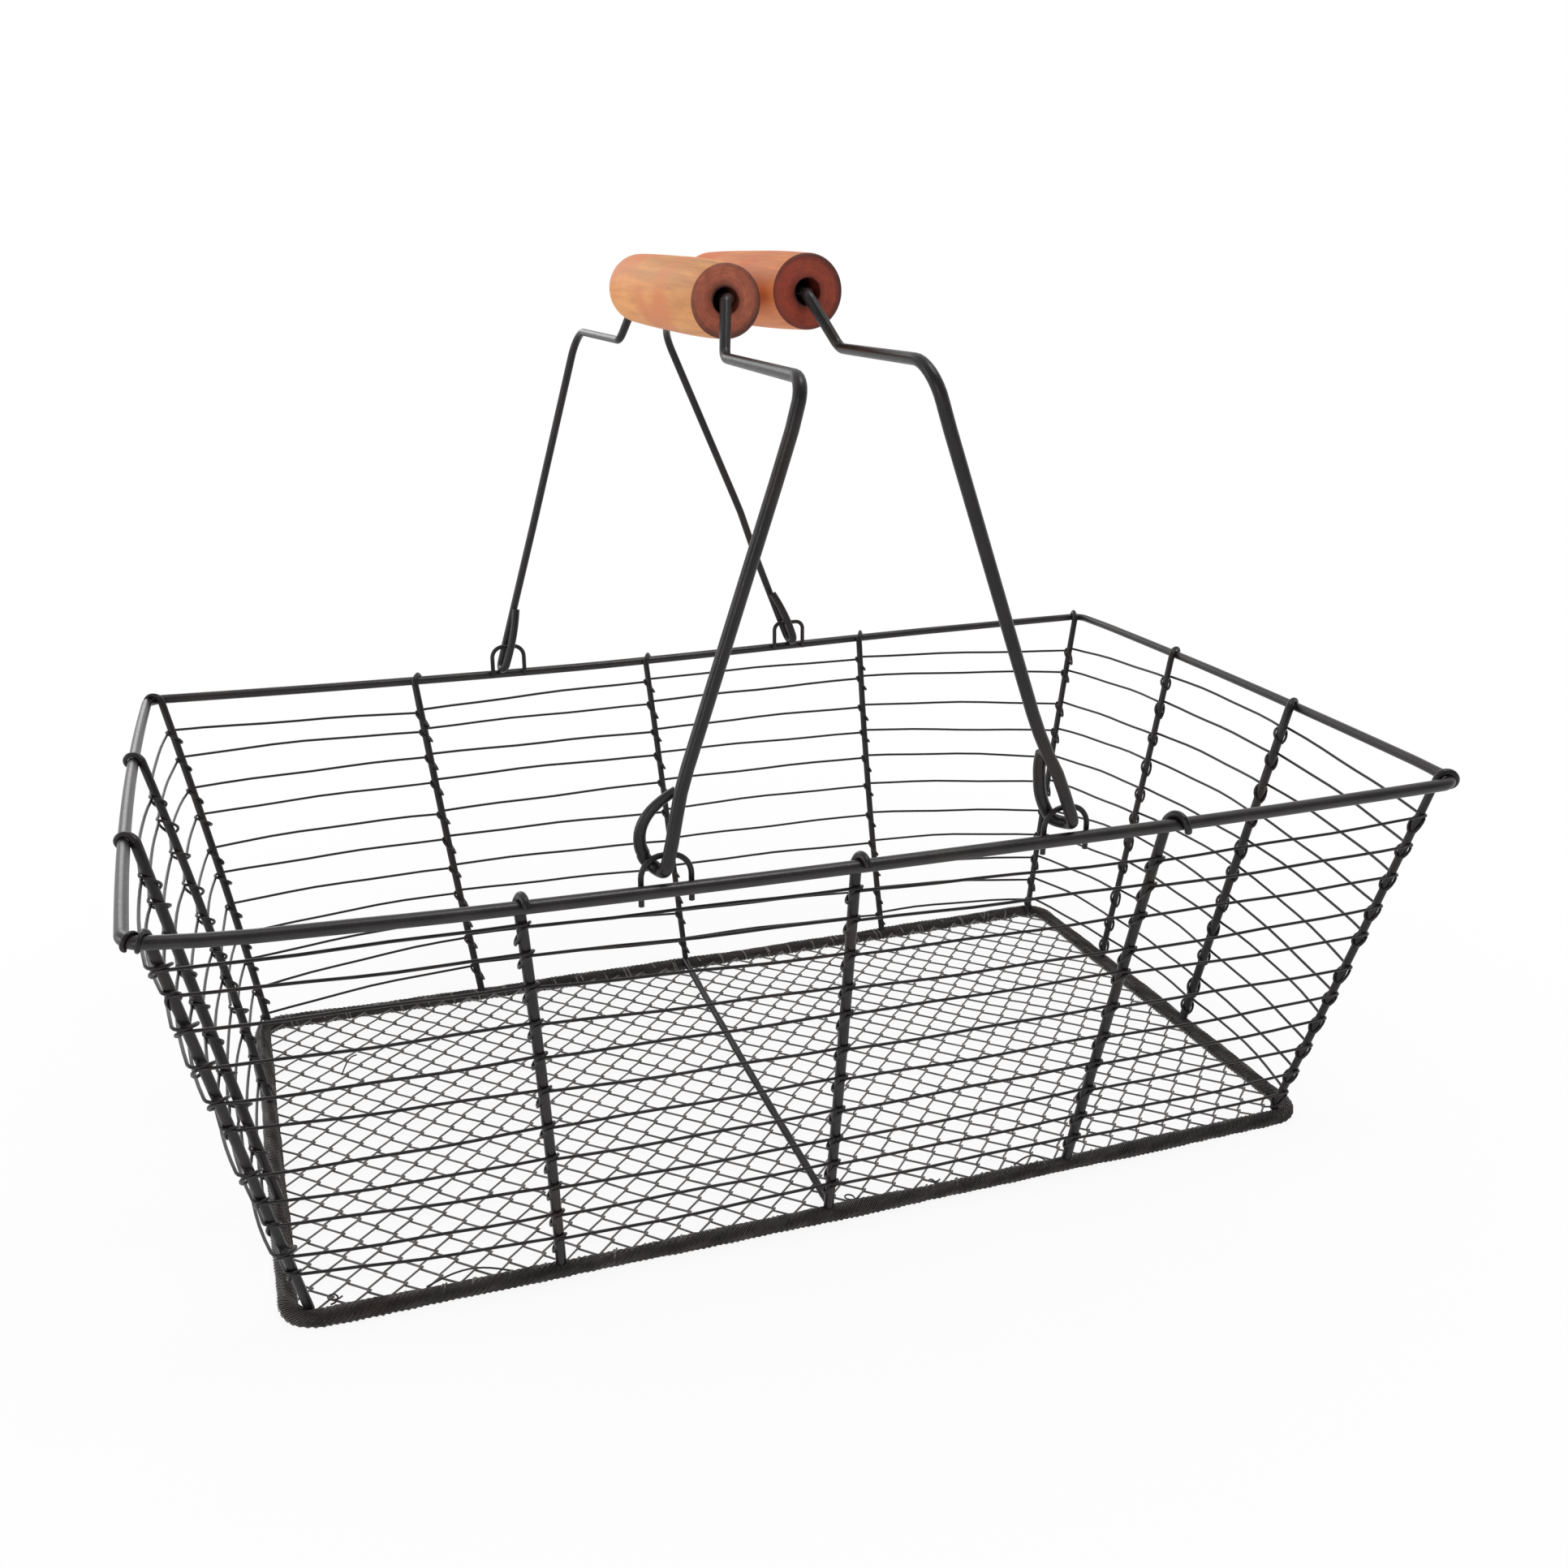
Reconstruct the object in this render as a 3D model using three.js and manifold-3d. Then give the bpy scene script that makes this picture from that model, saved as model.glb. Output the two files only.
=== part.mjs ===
// Tapered wire harvest basket with two swinging wire bails and turned wooden grips.
// Millimetres, +Z up. The long side runs along X, the front faces -Y, and the origin is
// on the standing plane under the middle of the basket.

import * as THREE from 'three';
import Module from 'manifold-3d';
import { mergeGeometries, mergeVertices } from 'three/addons/utils/BufferGeometryUtils.js';

const wasm = await Module();
wasm.setup();

// Frame: centre lines of the two thick wires.
const RIM_LENGTH = 410;
const RIM_WIDTH = 246;
const RIM_CORNER_RADIUS = 6;
const RIM_DIP = 2.7;
const RIM_BOW = 2.4;
const BASE_LENGTH = 353;
const BASE_WIDTH = 196;
const BASE_CORNER_RADIUS = 6;
const WALL_RISE = 135;

// Wire diameters.
const RIM_WIRE = 3.5;
const BASE_WIRE = 3.5;
const RIB_WIRE = 2.4;
const HOOP_WIRE = 1.0;
const STAPLE_WIRE = 1.8;
const BAIL_WIRE = 4.1;

// Side ribs are set by hand, so each has its own place along its side at the top and at the
// foot. Long sides run from left to right, short sides from front to back.
const RIB_PLACES = {
  front: { tops: [-107, -9.5, 92.5], feet: [-96.5, -6.5, 82.5] },
  back: { tops: [-103, -5.5, 93.5], feet: [-88, 1.5, 95.5] },
  left: { tops: [-47.5, 36.5], feet: [-35, 31] },
  right: { tops: [-36, 45], feet: [-25, 37] },
};

// Hoops are wound by hand too. Each drifts up or down from level on its way round, most at the
// top one. The lifts are for the corners, in the order back right, back left, front left,
// front right.
const HOOP_COUNT = 11;
const HOOP_CORNER_LIFTS = [2.5, -2.5, 5.5, -5];
const RIB_HOOK_TAIL = THREE.MathUtils.degToRad(35);
const RIB_HOOK_ADVANCE = 4;

// Floor.
const NET_COLUMNS = 12;
const NET_ROWS = 8;
const NET_THICKNESS = 1.0;
const NET_STRAND = 1.2;
const NET_BORDER = 2.0;

// Staples and bails. A bail's height is measured from its pivot line, along its own plane.
const STAPLES = {
  front_left: { shift: 2.2, width: 14.5, foot: 5 },
  front_right: { shift: 0, width: 14.5, foot: 5 },
  back_left: { shift: 2.7, width: 13, foot: 1 },
  back_right: { shift: -1.8, width: 13, foot: 1 },
};
const STAPLE_HEIGHT = 11;
const STAPLE_BEND = 5.5;
const BAILS = {
  left: { x: -68, stepHeight: 137, gripHeight: 155.5, shoulderBend: 6, hookBulge: 4.4 },
  right: { x: 59.5, stepHeight: 143.5, gripHeight: 160.8, shoulderBend: 11, hookBulge: 2.6 },
};
const LEFT_BAIL_LEAN = THREE.MathUtils.degToRad(16.85);
const BAIL_STEP_HALF = 59.5;
const BAIL_GRIP_CORNER = 4.5;
const BAIL_STEP_BEND = 5;
const BAIL_GRIP_BEND = 4.5;
const HOOK_LENGTH = 24;
const FRONT_HOOK_SPLAY = 3.4;
const BACK_HOOK_SPLAY = 1.6;
const BACK_HOOK_BULGE = 0.6;

// Grips.
const GRIP_LENGTH = 95;
const GRIP_DIAMETER = 24.6;
const GRIP_END_DIAMETER = 22.4;
const GRIP_SLIDE = 1.2;
const GRIP_EDGE = 1.6;
const GRIP_MOUTH_DIAMETER = 7.2;
const GRIP_MOUTH_DEPTH = 3;

// Clearances.
const SEAT_GAP = 0.3;
const BORE_CLEARANCE = 0.42;

// Facets of each kind of wire, and steps in its bends.
const THICK_SIDES = 8;
const THIN_SIDES = 6;
const CORNER_STEPS = 4;
const SIDE_STEPS = 6;
const BEND_STEPS = 4;
const HOOK_STEPS = 8;
const HOOK_TURN_STEPS = 8;
const BARREL_STEPS = 6;
const GRIP_FACETS = 20;

const UP = new THREE.Vector3(0, 0, 1);

// Finishes.

function coatedSteel() {
  return new THREE.MeshStandardMaterial({ color: 0x2d2a2b, roughness: 0.55, metalness: 0.75 });
}

function netSteel() {
  return new THREE.MeshStandardMaterial({ color: 0x35322f, roughness: 0.6, metalness: 0.7 });
}

function turnedWood() {
  return new THREE.MeshStandardMaterial({ color: 0xd9a06c, roughness: 0.5, metalness: 0.0 });
}

// Wire: a round section with flat facets, swept along stations with mitred bends.

function directionsOf(points, closed) {
  const count = closed ? points.length : points.length - 1;
  return Array.from({ length: count }, (_, i) => {
    const next = points[(i + 1) % points.length];
    return next.clone().sub(points[i]).normalize();
  });
}

function carriedNormals(directions) {
  const alongX = Math.abs(directions[0].x) > Math.SQRT1_2;
  const helper = alongX ? UP : new THREE.Vector3(1, 0, 0);
  const normal = helper.clone().cross(directions[0]).normalize();
  const normals = [normal.clone()];
  const turn = new THREE.Quaternion();
  for (let i = 1; i < directions.length; i += 1) {
    turn.setFromUnitVectors(directions[i - 1], directions[i]);
    normal.applyQuaternion(turn);
    normals.push(normal.clone());
  }
  return normals;
}

function levelNormals(directions) {
  return directions.map((direction) => direction.clone().cross(UP).normalize());
}

function mitredRing(point, direction, normal, plane, radius, sides) {
  const across = direction.clone().cross(normal);
  return Array.from({ length: sides }, (_, k) => {
    const angle = ((k + 0.5) * 2 * Math.PI) / sides;
    const offset = normal.clone().multiplyScalar(radius * Math.cos(angle));
    offset.addScaledVector(across, radius * Math.sin(angle));
    offset.addScaledVector(direction, -offset.dot(plane) / direction.dot(plane));
    return offset.add(point);
  });
}

function wire(points, diameter, sides, { closed = false, startPlane = null } = {}) {
  const directions = directionsOf(points, closed);
  const normals = closed ? levelNormals(directions) : carriedNormals(directions);
  const last = directions.length - 1;
  const rings = points.map((point, i) => {
    const ahead = directions[Math.min(i, last)];
    const behind = directions[i > 0 ? i - 1 : closed ? last : 0];
    const plane = i === 0 && startPlane ? startPlane : ahead.clone().add(behind).normalize();
    return mitredRing(point, ahead, normals[Math.min(i, last)], plane, diameter / 2, sides);
  });
  const positions = rings.flat().flatMap((vertex) => vertex.toArray());
  const index = [];
  const spans = closed ? rings.length : rings.length - 1;
  for (let i = 0; i < spans; i += 1) {
    const here = i * sides;
    const next = ((i + 1) % rings.length) * sides;
    for (let k = 0; k < sides; k += 1) {
      const side = (k + 1) % sides;
      index.push(here + k, here + side, next + side);
      index.push(here + k, next + side, next + k);
    }
  }
  if (!closed) {
    const end = (rings.length - 1) * sides;
    for (let k = 1; k < sides - 1; k += 1) {
      index.push(0, k + 1, k);
      index.push(end, end + k, end + k + 1);
    }
  }
  const geometry = new THREE.BufferGeometry();
  geometry.setAttribute('position', new THREE.Float32BufferAttribute(positions, 3));
  geometry.setIndex(index);
  geometry.computeVertexNormals();
  return geometry;
}

// A bend of the given radius at a corner, as stations from one tangent point to the other.
function bend(before, corner, after, radius, steps) {
  const back = before.clone().sub(corner).normalize();
  const forward = after.clone().sub(corner).normalize();
  const half = back.angleTo(forward) / 2;
  const middle = back.clone().add(forward).normalize();
  const centre = corner.clone().addScaledVector(middle, radius / Math.sin(half));
  const start = corner.clone().addScaledVector(back, radius / Math.tan(half)).sub(centre);
  const axis = back.clone().cross(forward).normalize();
  const sweep = Math.PI - 2 * half;
  return Array.from({ length: steps + 1 }, (_, i) => {
    const turned = start.clone().applyAxisAngle(axis, (-sweep * i) / steps);
    return turned.add(centre);
  });
}

function mesh(name, geometry, material) {
  const piece = new THREE.Mesh(geometry, material);
  piece.name = name;
  return piece;
}

// Shape of the walls. The ribs stand on the base wire, lean outwards and pass inside the rim,
// where they hook over it.

const thickApothem = Math.cos(Math.PI / THICK_SIDES);
const BASE_Z = (BASE_WIRE / 2) * thickApothem;
const RIM_Z = BASE_Z + WALL_RISE;
const RIB_FOOT_Z = BASE_Z + BASE_WIRE / 2 + SEAT_GAP;
const RIB_HOOK_RADIUS = (RIM_WIRE + RIB_WIRE) / 2 + SEAT_GAP;

function leanOfRib(run, rise) {
  return Math.atan2(run, rise) - Math.asin(RIB_HOOK_RADIUS / Math.hypot(run, rise));
}

const wallLean = {
  x: leanOfRib((RIM_LENGTH - BASE_LENGTH) / 2, RIM_Z - RIB_FOOT_Z),
  y: leanOfRib((RIM_WIDTH - BASE_WIDTH) / 2, RIM_Z - RIB_FOOT_Z),
};

// A level loop with rounded corners, anticlockwise from above. dip lowers and draws in the
// middle of the long sides, and bow pushes out the middle of the short sides.
function roundedLoop({ halfX, halfY, radius, z, dip = 0, bow = 0 }) {
  const points = [];
  const straightX = halfX - radius;
  const straightY = halfY - radius;
  const drawnIn = dip * Math.tan(wallLean.y);
  for (let quarter = 0; quarter < 4; quarter += 1) {
    const signX = quarter === 0 || quarter === 3 ? 1 : -1;
    const signY = quarter < 2 ? 1 : -1;
    for (let i = 0; i <= CORNER_STEPS; i += 1) {
      const angle = (quarter + i / CORNER_STEPS) * (Math.PI / 2);
      const x = signX * straightX + radius * Math.cos(angle);
      const y = signY * straightY + radius * Math.sin(angle);
      points.push(new THREE.Vector3(x, y, z));
    }
    const alongX = quarter % 2 === 0;
    const share = alongX ? dip : bow;
    for (let i = 1; share > 0 && i < SIDE_STEPS; i += 1) {
      const travel = 1 - (2 * i) / SIDE_STEPS;
      const curve = 1 - travel * travel;
      const x = alongX ? signX * straightX * travel : signX * (halfX + bow * curve);
      const y = alongX ? signY * (halfY - drawnIn * curve) : signY * straightY * travel;
      points.push(new THREE.Vector3(x, y, alongX ? z - dip * curve : z));
    }
  }
  return points;
}

function rimWire() {
  const loop = roundedLoop({
    halfX: RIM_LENGTH / 2,
    halfY: RIM_WIDTH / 2,
    radius: RIM_CORNER_RADIUS,
    z: RIM_Z,
    dip: RIM_DIP,
    bow: RIM_BOW,
  });
  return mesh('rim_wire', wire(loop, RIM_WIRE, THICK_SIDES, { closed: true }), coatedSteel());
}

function baseWire() {
  const loop = roundedLoop({
    halfX: BASE_LENGTH / 2,
    halfY: BASE_WIDTH / 2,
    radius: BASE_CORNER_RADIUS,
    z: BASE_Z,
  });
  return mesh('base_wire', wire(loop, BASE_WIRE, THICK_SIDES, { closed: true }), coatedSteel());
}

// Places on the rim: the wire's centre, the level outward direction and the run of the rim.

function rimOnLongSide(sign, x) {
  const travel = x / (RIM_LENGTH / 2 - RIM_CORNER_RADIUS);
  const curve = 1 - travel * travel;
  const y = RIM_WIDTH / 2 - RIM_DIP * Math.tan(wallLean.y) * curve;
  return {
    centre: new THREE.Vector3(x, sign * y, RIM_Z - RIM_DIP * curve),
    outward: new THREE.Vector3(0, sign, 0),
    along: new THREE.Vector3(1, 0, 0),
  };
}

function rimOnShortSide(sign, y) {
  const travel = y / (RIM_WIDTH / 2 - RIM_CORNER_RADIUS);
  const x = RIM_LENGTH / 2 + RIM_BOW * (1 - travel * travel);
  return {
    centre: new THREE.Vector3(sign * x, y, RIM_Z),
    outward: new THREE.Vector3(sign, 0, 0),
    along: new THREE.Vector3(0, 1, 0),
  };
}

function cornerPoint(length, width, radius, signX, signY, z) {
  const inset = radius * (1 - Math.SQRT1_2);
  return new THREE.Vector3(signX * (length / 2 - inset), signY * (width / 2 - inset), z);
}

function rimAtCorner(signX, signY) {
  return {
    centre: cornerPoint(RIM_LENGTH, RIM_WIDTH, RIM_CORNER_RADIUS, signX, signY, RIM_Z),
    outward: new THREE.Vector3(signX, signY, 0).normalize(),
    along: new THREE.Vector3(-signY, signX, 0).normalize(),
  };
}

// Ribs: straight from the base wire to the inside of the rim, then round over the rim.

function rib(name, foot, rim) {
  const toFoot = foot.clone().sub(rim.centre);
  const run = -toFoot.dot(rim.outward);
  const lean = leanOfRib(run, -toFoot.z);
  const start = Math.PI - lean;
  const points = [foot];
  for (let i = 0; i <= HOOK_STEPS; i += 1) {
    const share = i / HOOK_STEPS;
    const angle = start - (start + RIB_HOOK_TAIL) * share;
    const point = rim.centre.clone();
    point.addScaledVector(rim.outward, RIB_HOOK_RADIUS * Math.cos(angle));
    point.addScaledVector(UP, RIB_HOOK_RADIUS * Math.sin(angle));
    point.addScaledVector(rim.along, RIB_HOOK_ADVANCE * share);
    points.push(point);
  }
  return mesh(name, wire(points, RIB_WIRE, THIN_SIDES, { startPlane: UP }), coatedSteel());
}

function longSideRibs(side, sign) {
  const { tops, feet } = RIB_PLACES[side];
  return ['left', 'middle', 'right'].map((place, i) => {
    const foot = new THREE.Vector3(feet[i], (sign * BASE_WIDTH) / 2, RIB_FOOT_Z);
    return rib(`rib_${side}_${place}`, foot, rimOnLongSide(sign, tops[i]));
  });
}

function shortSideRibs(side, sign) {
  const { tops, feet } = RIB_PLACES[side];
  return ['front', 'back'].map((place, i) => {
    const foot = new THREE.Vector3((sign * BASE_LENGTH) / 2, feet[i], RIB_FOOT_Z);
    return rib(`rib_${side}_${place}`, foot, rimOnShortSide(sign, tops[i]));
  });
}

function cornerFoot(signX, signY) {
  return cornerPoint(BASE_LENGTH, BASE_WIDTH, BASE_CORNER_RADIUS, signX, signY, RIB_FOOT_Z);
}

function cornerRibs() {
  const ribs = [];
  for (const [depth, signY] of [['front', -1], ['back', 1]]) {
    for (const [hand, signX] of [['left', -1], ['right', 1]]) {
      const foot = cornerFoot(signX, signY);
      ribs.push(rib(`corner_rib_${depth}_${hand}`, foot, rimAtCorner(signX, signY)));
    }
  }
  return ribs;
}

// Hoops: thin wires round the outside of the ribs, spaced between base and rim.

// The radius of a rounded corner that passes one clearance outside a rib, whose centre lies
// insetX and insetY in from the corner's two sides.
function radiusRoundRib(insetX, insetY, clearance) {
  const reach = insetX + insetY - clearance;
  return reach + Math.sqrt(reach * reach - (insetX ** 2 + insetY ** 2 - clearance ** 2));
}

function cornerRibCentre(z) {
  const foot = cornerFoot(1, 1);
  const rim = rimAtCorner(1, 1);
  const run = rim.centre.clone().sub(foot).dot(rim.outward);
  const lean = leanOfRib(run, RIM_Z - RIB_FOOT_Z);
  const top = rim.centre.clone();
  top.addScaledVector(rim.outward, -RIB_HOOK_RADIUS * Math.cos(lean));
  top.addScaledVector(UP, RIB_HOOK_RADIUS * Math.sin(lean));
  return foot.lerp(top, (z - RIB_FOOT_Z) / (top.z - RIB_FOOT_Z));
}

// Half sizes of the rectangle that lies one clearance outside the ribs at a height.
function outsideRibs(z, clearance) {
  const climb = z - RIB_FOOT_Z;
  const offsetX = climb * Math.tan(wallLean.x) + clearance / Math.cos(wallLean.x);
  const offsetY = climb * Math.tan(wallLean.y) + clearance / Math.cos(wallLean.y);
  return { halfX: BASE_LENGTH / 2 + offsetX, halfY: BASE_WIDTH / 2 + offsetY };
}

// The lift at a place on a hoop, blended between its four corners.
function hoopLift(shareX, shareY) {
  const [backRight, backLeft, frontLeft, frontRight] = HOOP_CORNER_LIFTS;
  const right = (1 + shareX) / 2;
  const back = (1 + shareY) / 2;
  const atBack = backLeft + (backRight - backLeft) * right;
  const atFront = frontLeft + (frontRight - frontLeft) * right;
  return atFront + (atBack - atFront) * back;
}

function hoop(level) {
  const z = BASE_Z + (level * WALL_RISE) / (HOOP_COUNT + 1);
  const clearance = (RIB_WIRE + HOOP_WIRE) / 2 + SEAT_GAP;
  const { halfX, halfY } = outsideRibs(z, clearance);
  const corner = cornerRibCentre(z);
  const radius = radiusRoundRib(halfX - corner.x, halfY - corner.y, clearance);
  const bow = (RIM_BOW * (z - RIB_FOOT_Z)) / (RIM_Z - RIB_FOOT_Z);
  const loop = roundedLoop({ halfX, halfY, radius, z, bow });
  for (const point of loop) {
    const lift = hoopLift(point.x / halfX, point.y / halfY) * (level / HOOP_COUNT);
    const lifted = outsideRibs(z + lift, clearance);
    point.x *= lifted.halfX / halfX;
    point.y *= lifted.halfY / halfY;
    point.z += lift;
  }
  const name = `hoop_${String(level).padStart(2, '0')}`;
  return mesh(name, wire(loop, HOOP_WIRE, THIN_SIDES, { closed: true }), coatedSteel());
}

function hoops() {
  return Array.from({ length: HOOP_COUNT }, (_, i) => hoop(i + 1));
}

// Floor: netting stretched inside the base wire, and a wire across it between the two middle
// ribs' feet.

function solidOf(geometry) {
  const bare = geometry.clone();
  bare.deleteAttribute('normal');
  bare.deleteAttribute('uv');
  const merged = mergeVertices(bare);
  const vertProperties = new Float32Array(merged.attributes.position.array);
  const triVerts = new Uint32Array(merged.index.array);
  return new wasm.Manifold(new wasm.Mesh({ numProp: 3, vertProperties, triVerts }));
}

function geometryOf(solid) {
  const { vertProperties, triVerts } = solid.getMesh();
  const geometry = new THREE.BufferGeometry();
  geometry.setAttribute('position', new THREE.Float32BufferAttribute(vertProperties, 3));
  geometry.setIndex(Array.from(triVerts));
  geometry.computeVertexNormals();
  return geometry;
}

function plate(outline, thickness) {
  const shape = new THREE.Shape(outline);
  const geometry = new THREE.ExtrudeGeometry(shape, { depth: thickness, bevelEnabled: false });
  return geometry.translate(0, 0, -thickness / 2);
}

// A diamond round a point, or the half of it that lies inside the netting's open field.
function diamond(x, y, reachX, reachY, isInside) {
  const corners = [
    new THREE.Vector2(x - reachX, y),
    new THREE.Vector2(x, y - reachY),
    new THREE.Vector2(x + reachX, y),
    new THREE.Vector2(x, y + reachY),
  ];
  return corners.filter(isInside);
}

function floorNet() {
  const inset = BASE_WIRE / 2 + SEAT_GAP;
  const halfX = BASE_LENGTH / 2 - inset;
  const halfY = BASE_WIDTH / 2 - inset;
  const radius = BASE_CORNER_RADIUS - inset;
  const outline = roundedLoop({ halfX, halfY, radius, z: 0 });
  const openX = halfX - NET_BORDER;
  const openY = halfY - NET_BORDER;
  const cellX = (2 * openX) / NET_COLUMNS;
  const cellY = (2 * openY) / NET_ROWS;
  const middleToStrand = (cellX * cellY) / 2 / Math.hypot(cellX, cellY);
  const share = 1 - NET_STRAND / 2 / middleToStrand;
  const isInside = (corner) => Math.abs(corner.x) < openX + NET_BORDER / 2
    && Math.abs(corner.y) < openY + NET_BORDER / 2;
  const gaps = [];
  for (let column = 0; column <= 2 * NET_COLUMNS; column += 1) {
    for (let row = column % 2; row <= 2 * NET_ROWS; row += 2) {
      const x = (column * cellX) / 2 - openX;
      const y = (row * cellY) / 2 - openY;
      const corners = diamond(x, y, (cellX / 2) * share, (cellY / 2) * share, isInside);
      if (corners.length > 2) {
        gaps.push(plate(corners, 2 * NET_THICKNESS));
      }
    }
  }
  const sheet = plate(outline.map((point) => new THREE.Vector2(point.x, point.y)), NET_THICKNESS);
  const geometry = geometryOf(solidOf(sheet).subtract(solidOf(mergeGeometries(gaps))));
  geometry.translate(0, 0, BASE_Z);
  return mesh('floor_net', geometry, netSteel());
}

function floorCrossWire() {
  const z = BASE_Z + NET_THICKNESS / 2 + SEAT_GAP + RIB_WIRE / 2;
  const reach = (BASE_WIRE + RIB_WIRE) / 2 + SEAT_GAP;
  const halfY = BASE_WIDTH / 2 - Math.sqrt(reach ** 2 - (z - BASE_Z) ** 2);
  const [, frontFoot] = RIB_PLACES.front.feet;
  const [, backFoot] = RIB_PLACES.back.feet;
  const start = new THREE.Vector3(frontFoot, -halfY, z);
  const end = new THREE.Vector3(backFoot, halfY, z);
  return mesh('floor_cross_wire', wire([start, end], RIB_WIRE, THIN_SIDES), coatedSteel());
}

// Bails and staples. Both stand on the long sides of the rim at the same places.

const STAPLE_OFFSET = (RIM_WIRE + STAPLE_WIRE) / 2 + SEAT_GAP;
const HOOK_OFFSET = (BAIL_WIRE + STAPLE_WIRE) / 2 + SEAT_GAP;

function bailPlace(bail) {
  const rim = rimOnLongSide(1, bail.x);
  return {
    x: bail.x,
    z: rim.centre.z + (RIM_WIRE + BAIL_WIRE) / 2 + SEAT_GAP,
    rimZ: rim.centre.z,
    stapleY: rim.centre.y - STAPLE_OFFSET,
  };
}

function staple(depth, hand) {
  const place = bailPlace(BAILS[hand]);
  const { shift, width, foot } = STAPLES[`${depth}_${hand}`];
  const y = depth === 'front' ? -place.stapleY : place.stapleY;
  const at = (x, z) => new THREE.Vector3(place.x + shift + x, y, place.rimZ + z);
  const footLeft = at(-width / 2, -foot);
  const topLeft = at(-width / 2, STAPLE_HEIGHT);
  const topRight = at(width / 2, STAPLE_HEIGHT);
  const footRight = at(width / 2, -foot);
  const points = [
    footLeft,
    ...bend(footLeft, topLeft, topRight, STAPLE_BEND, BEND_STEPS),
    ...bend(topLeft, topRight, footRight, STAPLE_BEND, BEND_STEPS),
    footRight,
  ];
  const name = `staple_${depth}_${hand}`;
  return mesh(name, wire(points, STAPLE_WIRE, THIN_SIDES), coatedSteel());
}

function staples() {
  return [
    staple('front', 'left'),
    staple('front', 'right'),
    staple('back', 'left'),
    staple('back', 'right'),
  ];
}

// One end of a bail, from the tip of its hook to the foot of its leg. The wire comes down
// outside the staple, turns under it on the pivot line and rises again on the inside, splayed
// along the rim, until its tip lies against the leg.
function hookPoints(stapleY, splay, bulge) {
  const legY = stapleY + HOOK_OFFSET;
  const innerY = stapleY - HOOK_OFFSET;
  const tipY = legY - BAIL_WIRE - SEAT_GAP;
  const turnTop = HOOK_OFFSET;
  const returnStrand = new THREE.CubicBezierCurve3(
    new THREE.Vector3(0, tipY, HOOK_LENGTH),
    new THREE.Vector3(splay + bulge, innerY, HOOK_LENGTH / 2 + turnTop),
    new THREE.Vector3(splay + bulge, innerY, HOOK_LENGTH / 3),
    new THREE.Vector3(splay, innerY, turnTop),
  );
  const points = returnStrand.getPoints(HOOK_TURN_STEPS - 1);
  points.pop();
  for (let i = 0; i <= HOOK_TURN_STEPS; i += 1) {
    const angle = Math.PI * (1 - i / HOOK_TURN_STEPS);
    const y = stapleY + HOOK_OFFSET * Math.cos(angle);
    const z = turnTop - HOOK_OFFSET * Math.sin(angle);
    const reach = splay * ((1 - Math.cos(angle)) / 2) ** 2;
    points.push(new THREE.Vector3(reach, y, z));
  }
  return points;
}

// Half a bail from the tip of its hook to the middle of its grip, standing upright over its
// pivot line.
function halfBail(stapleY, bail, hook) {
  const corner = (y, z) => new THREE.Vector3(0, y, z);
  const foot = corner(stapleY + HOOK_OFFSET, HOOK_OFFSET);
  const shoulder = corner(stapleY + HOOK_OFFSET, bail.stepHeight);
  const step = corner(BAIL_STEP_HALF, bail.stepHeight);
  const gripCorner = corner(GRIP_LENGTH / 2 + BAIL_GRIP_CORNER, bail.gripHeight);
  const middle = corner(0, bail.gripHeight);
  return [
    ...hook,
    ...bend(foot, shoulder, step, bail.shoulderBend, BEND_STEPS),
    ...bend(shoulder, step, gripCorner, BAIL_STEP_BEND, BEND_STEPS),
    ...bend(step, gripCorner, middle, BAIL_GRIP_BEND, BEND_STEPS),
  ];
}

// The front half is the back half turned half round, with its hook spread wider.
function bailWire(stapleY, bail) {
  const backHook = hookPoints(stapleY, BACK_HOOK_SPLAY, BACK_HOOK_BULGE);
  const frontHook = hookPoints(stapleY, FRONT_HOOK_SPLAY, bail.hookBulge);
  const back = halfBail(stapleY, bail, backHook);
  const front = halfBail(stapleY, bail, frontHook);
  const turned = front.map((point) => new THREE.Vector3(-point.x, -point.y, point.z));
  return wire([...back, ...turned.reverse()], BAIL_WIRE, THICK_SIDES);
}

function turnedGrip() {
  const half = GRIP_LENGTH / 2;
  const boreRadius = BAIL_WIRE / 2 + BORE_CLEARANCE;
  const barrelEnd = half - GRIP_EDGE;
  const profile = [
    new THREE.Vector2(boreRadius, half - GRIP_MOUTH_DEPTH),
    new THREE.Vector2(boreRadius, GRIP_MOUTH_DEPTH - half),
    new THREE.Vector2(GRIP_MOUTH_DIAMETER / 2, -half),
    new THREE.Vector2(GRIP_END_DIAMETER / 2 - GRIP_EDGE, -half),
  ];
  for (let i = 0; i <= BARREL_STEPS; i += 1) {
    const travel = (2 * i) / BARREL_STEPS - 1;
    const swell = (GRIP_DIAMETER - GRIP_END_DIAMETER) * (1 - travel ** 4);
    profile.push(new THREE.Vector2((GRIP_END_DIAMETER + swell) / 2, barrelEnd * travel));
  }
  profile.push(new THREE.Vector2(GRIP_END_DIAMETER / 2 - GRIP_EDGE, half));
  profile.push(new THREE.Vector2(GRIP_MOUTH_DIAMETER / 2, half));
  profile.push(profile[0].clone());
  return new THREE.LatheGeometry(profile, GRIP_FACETS);
}

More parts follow.
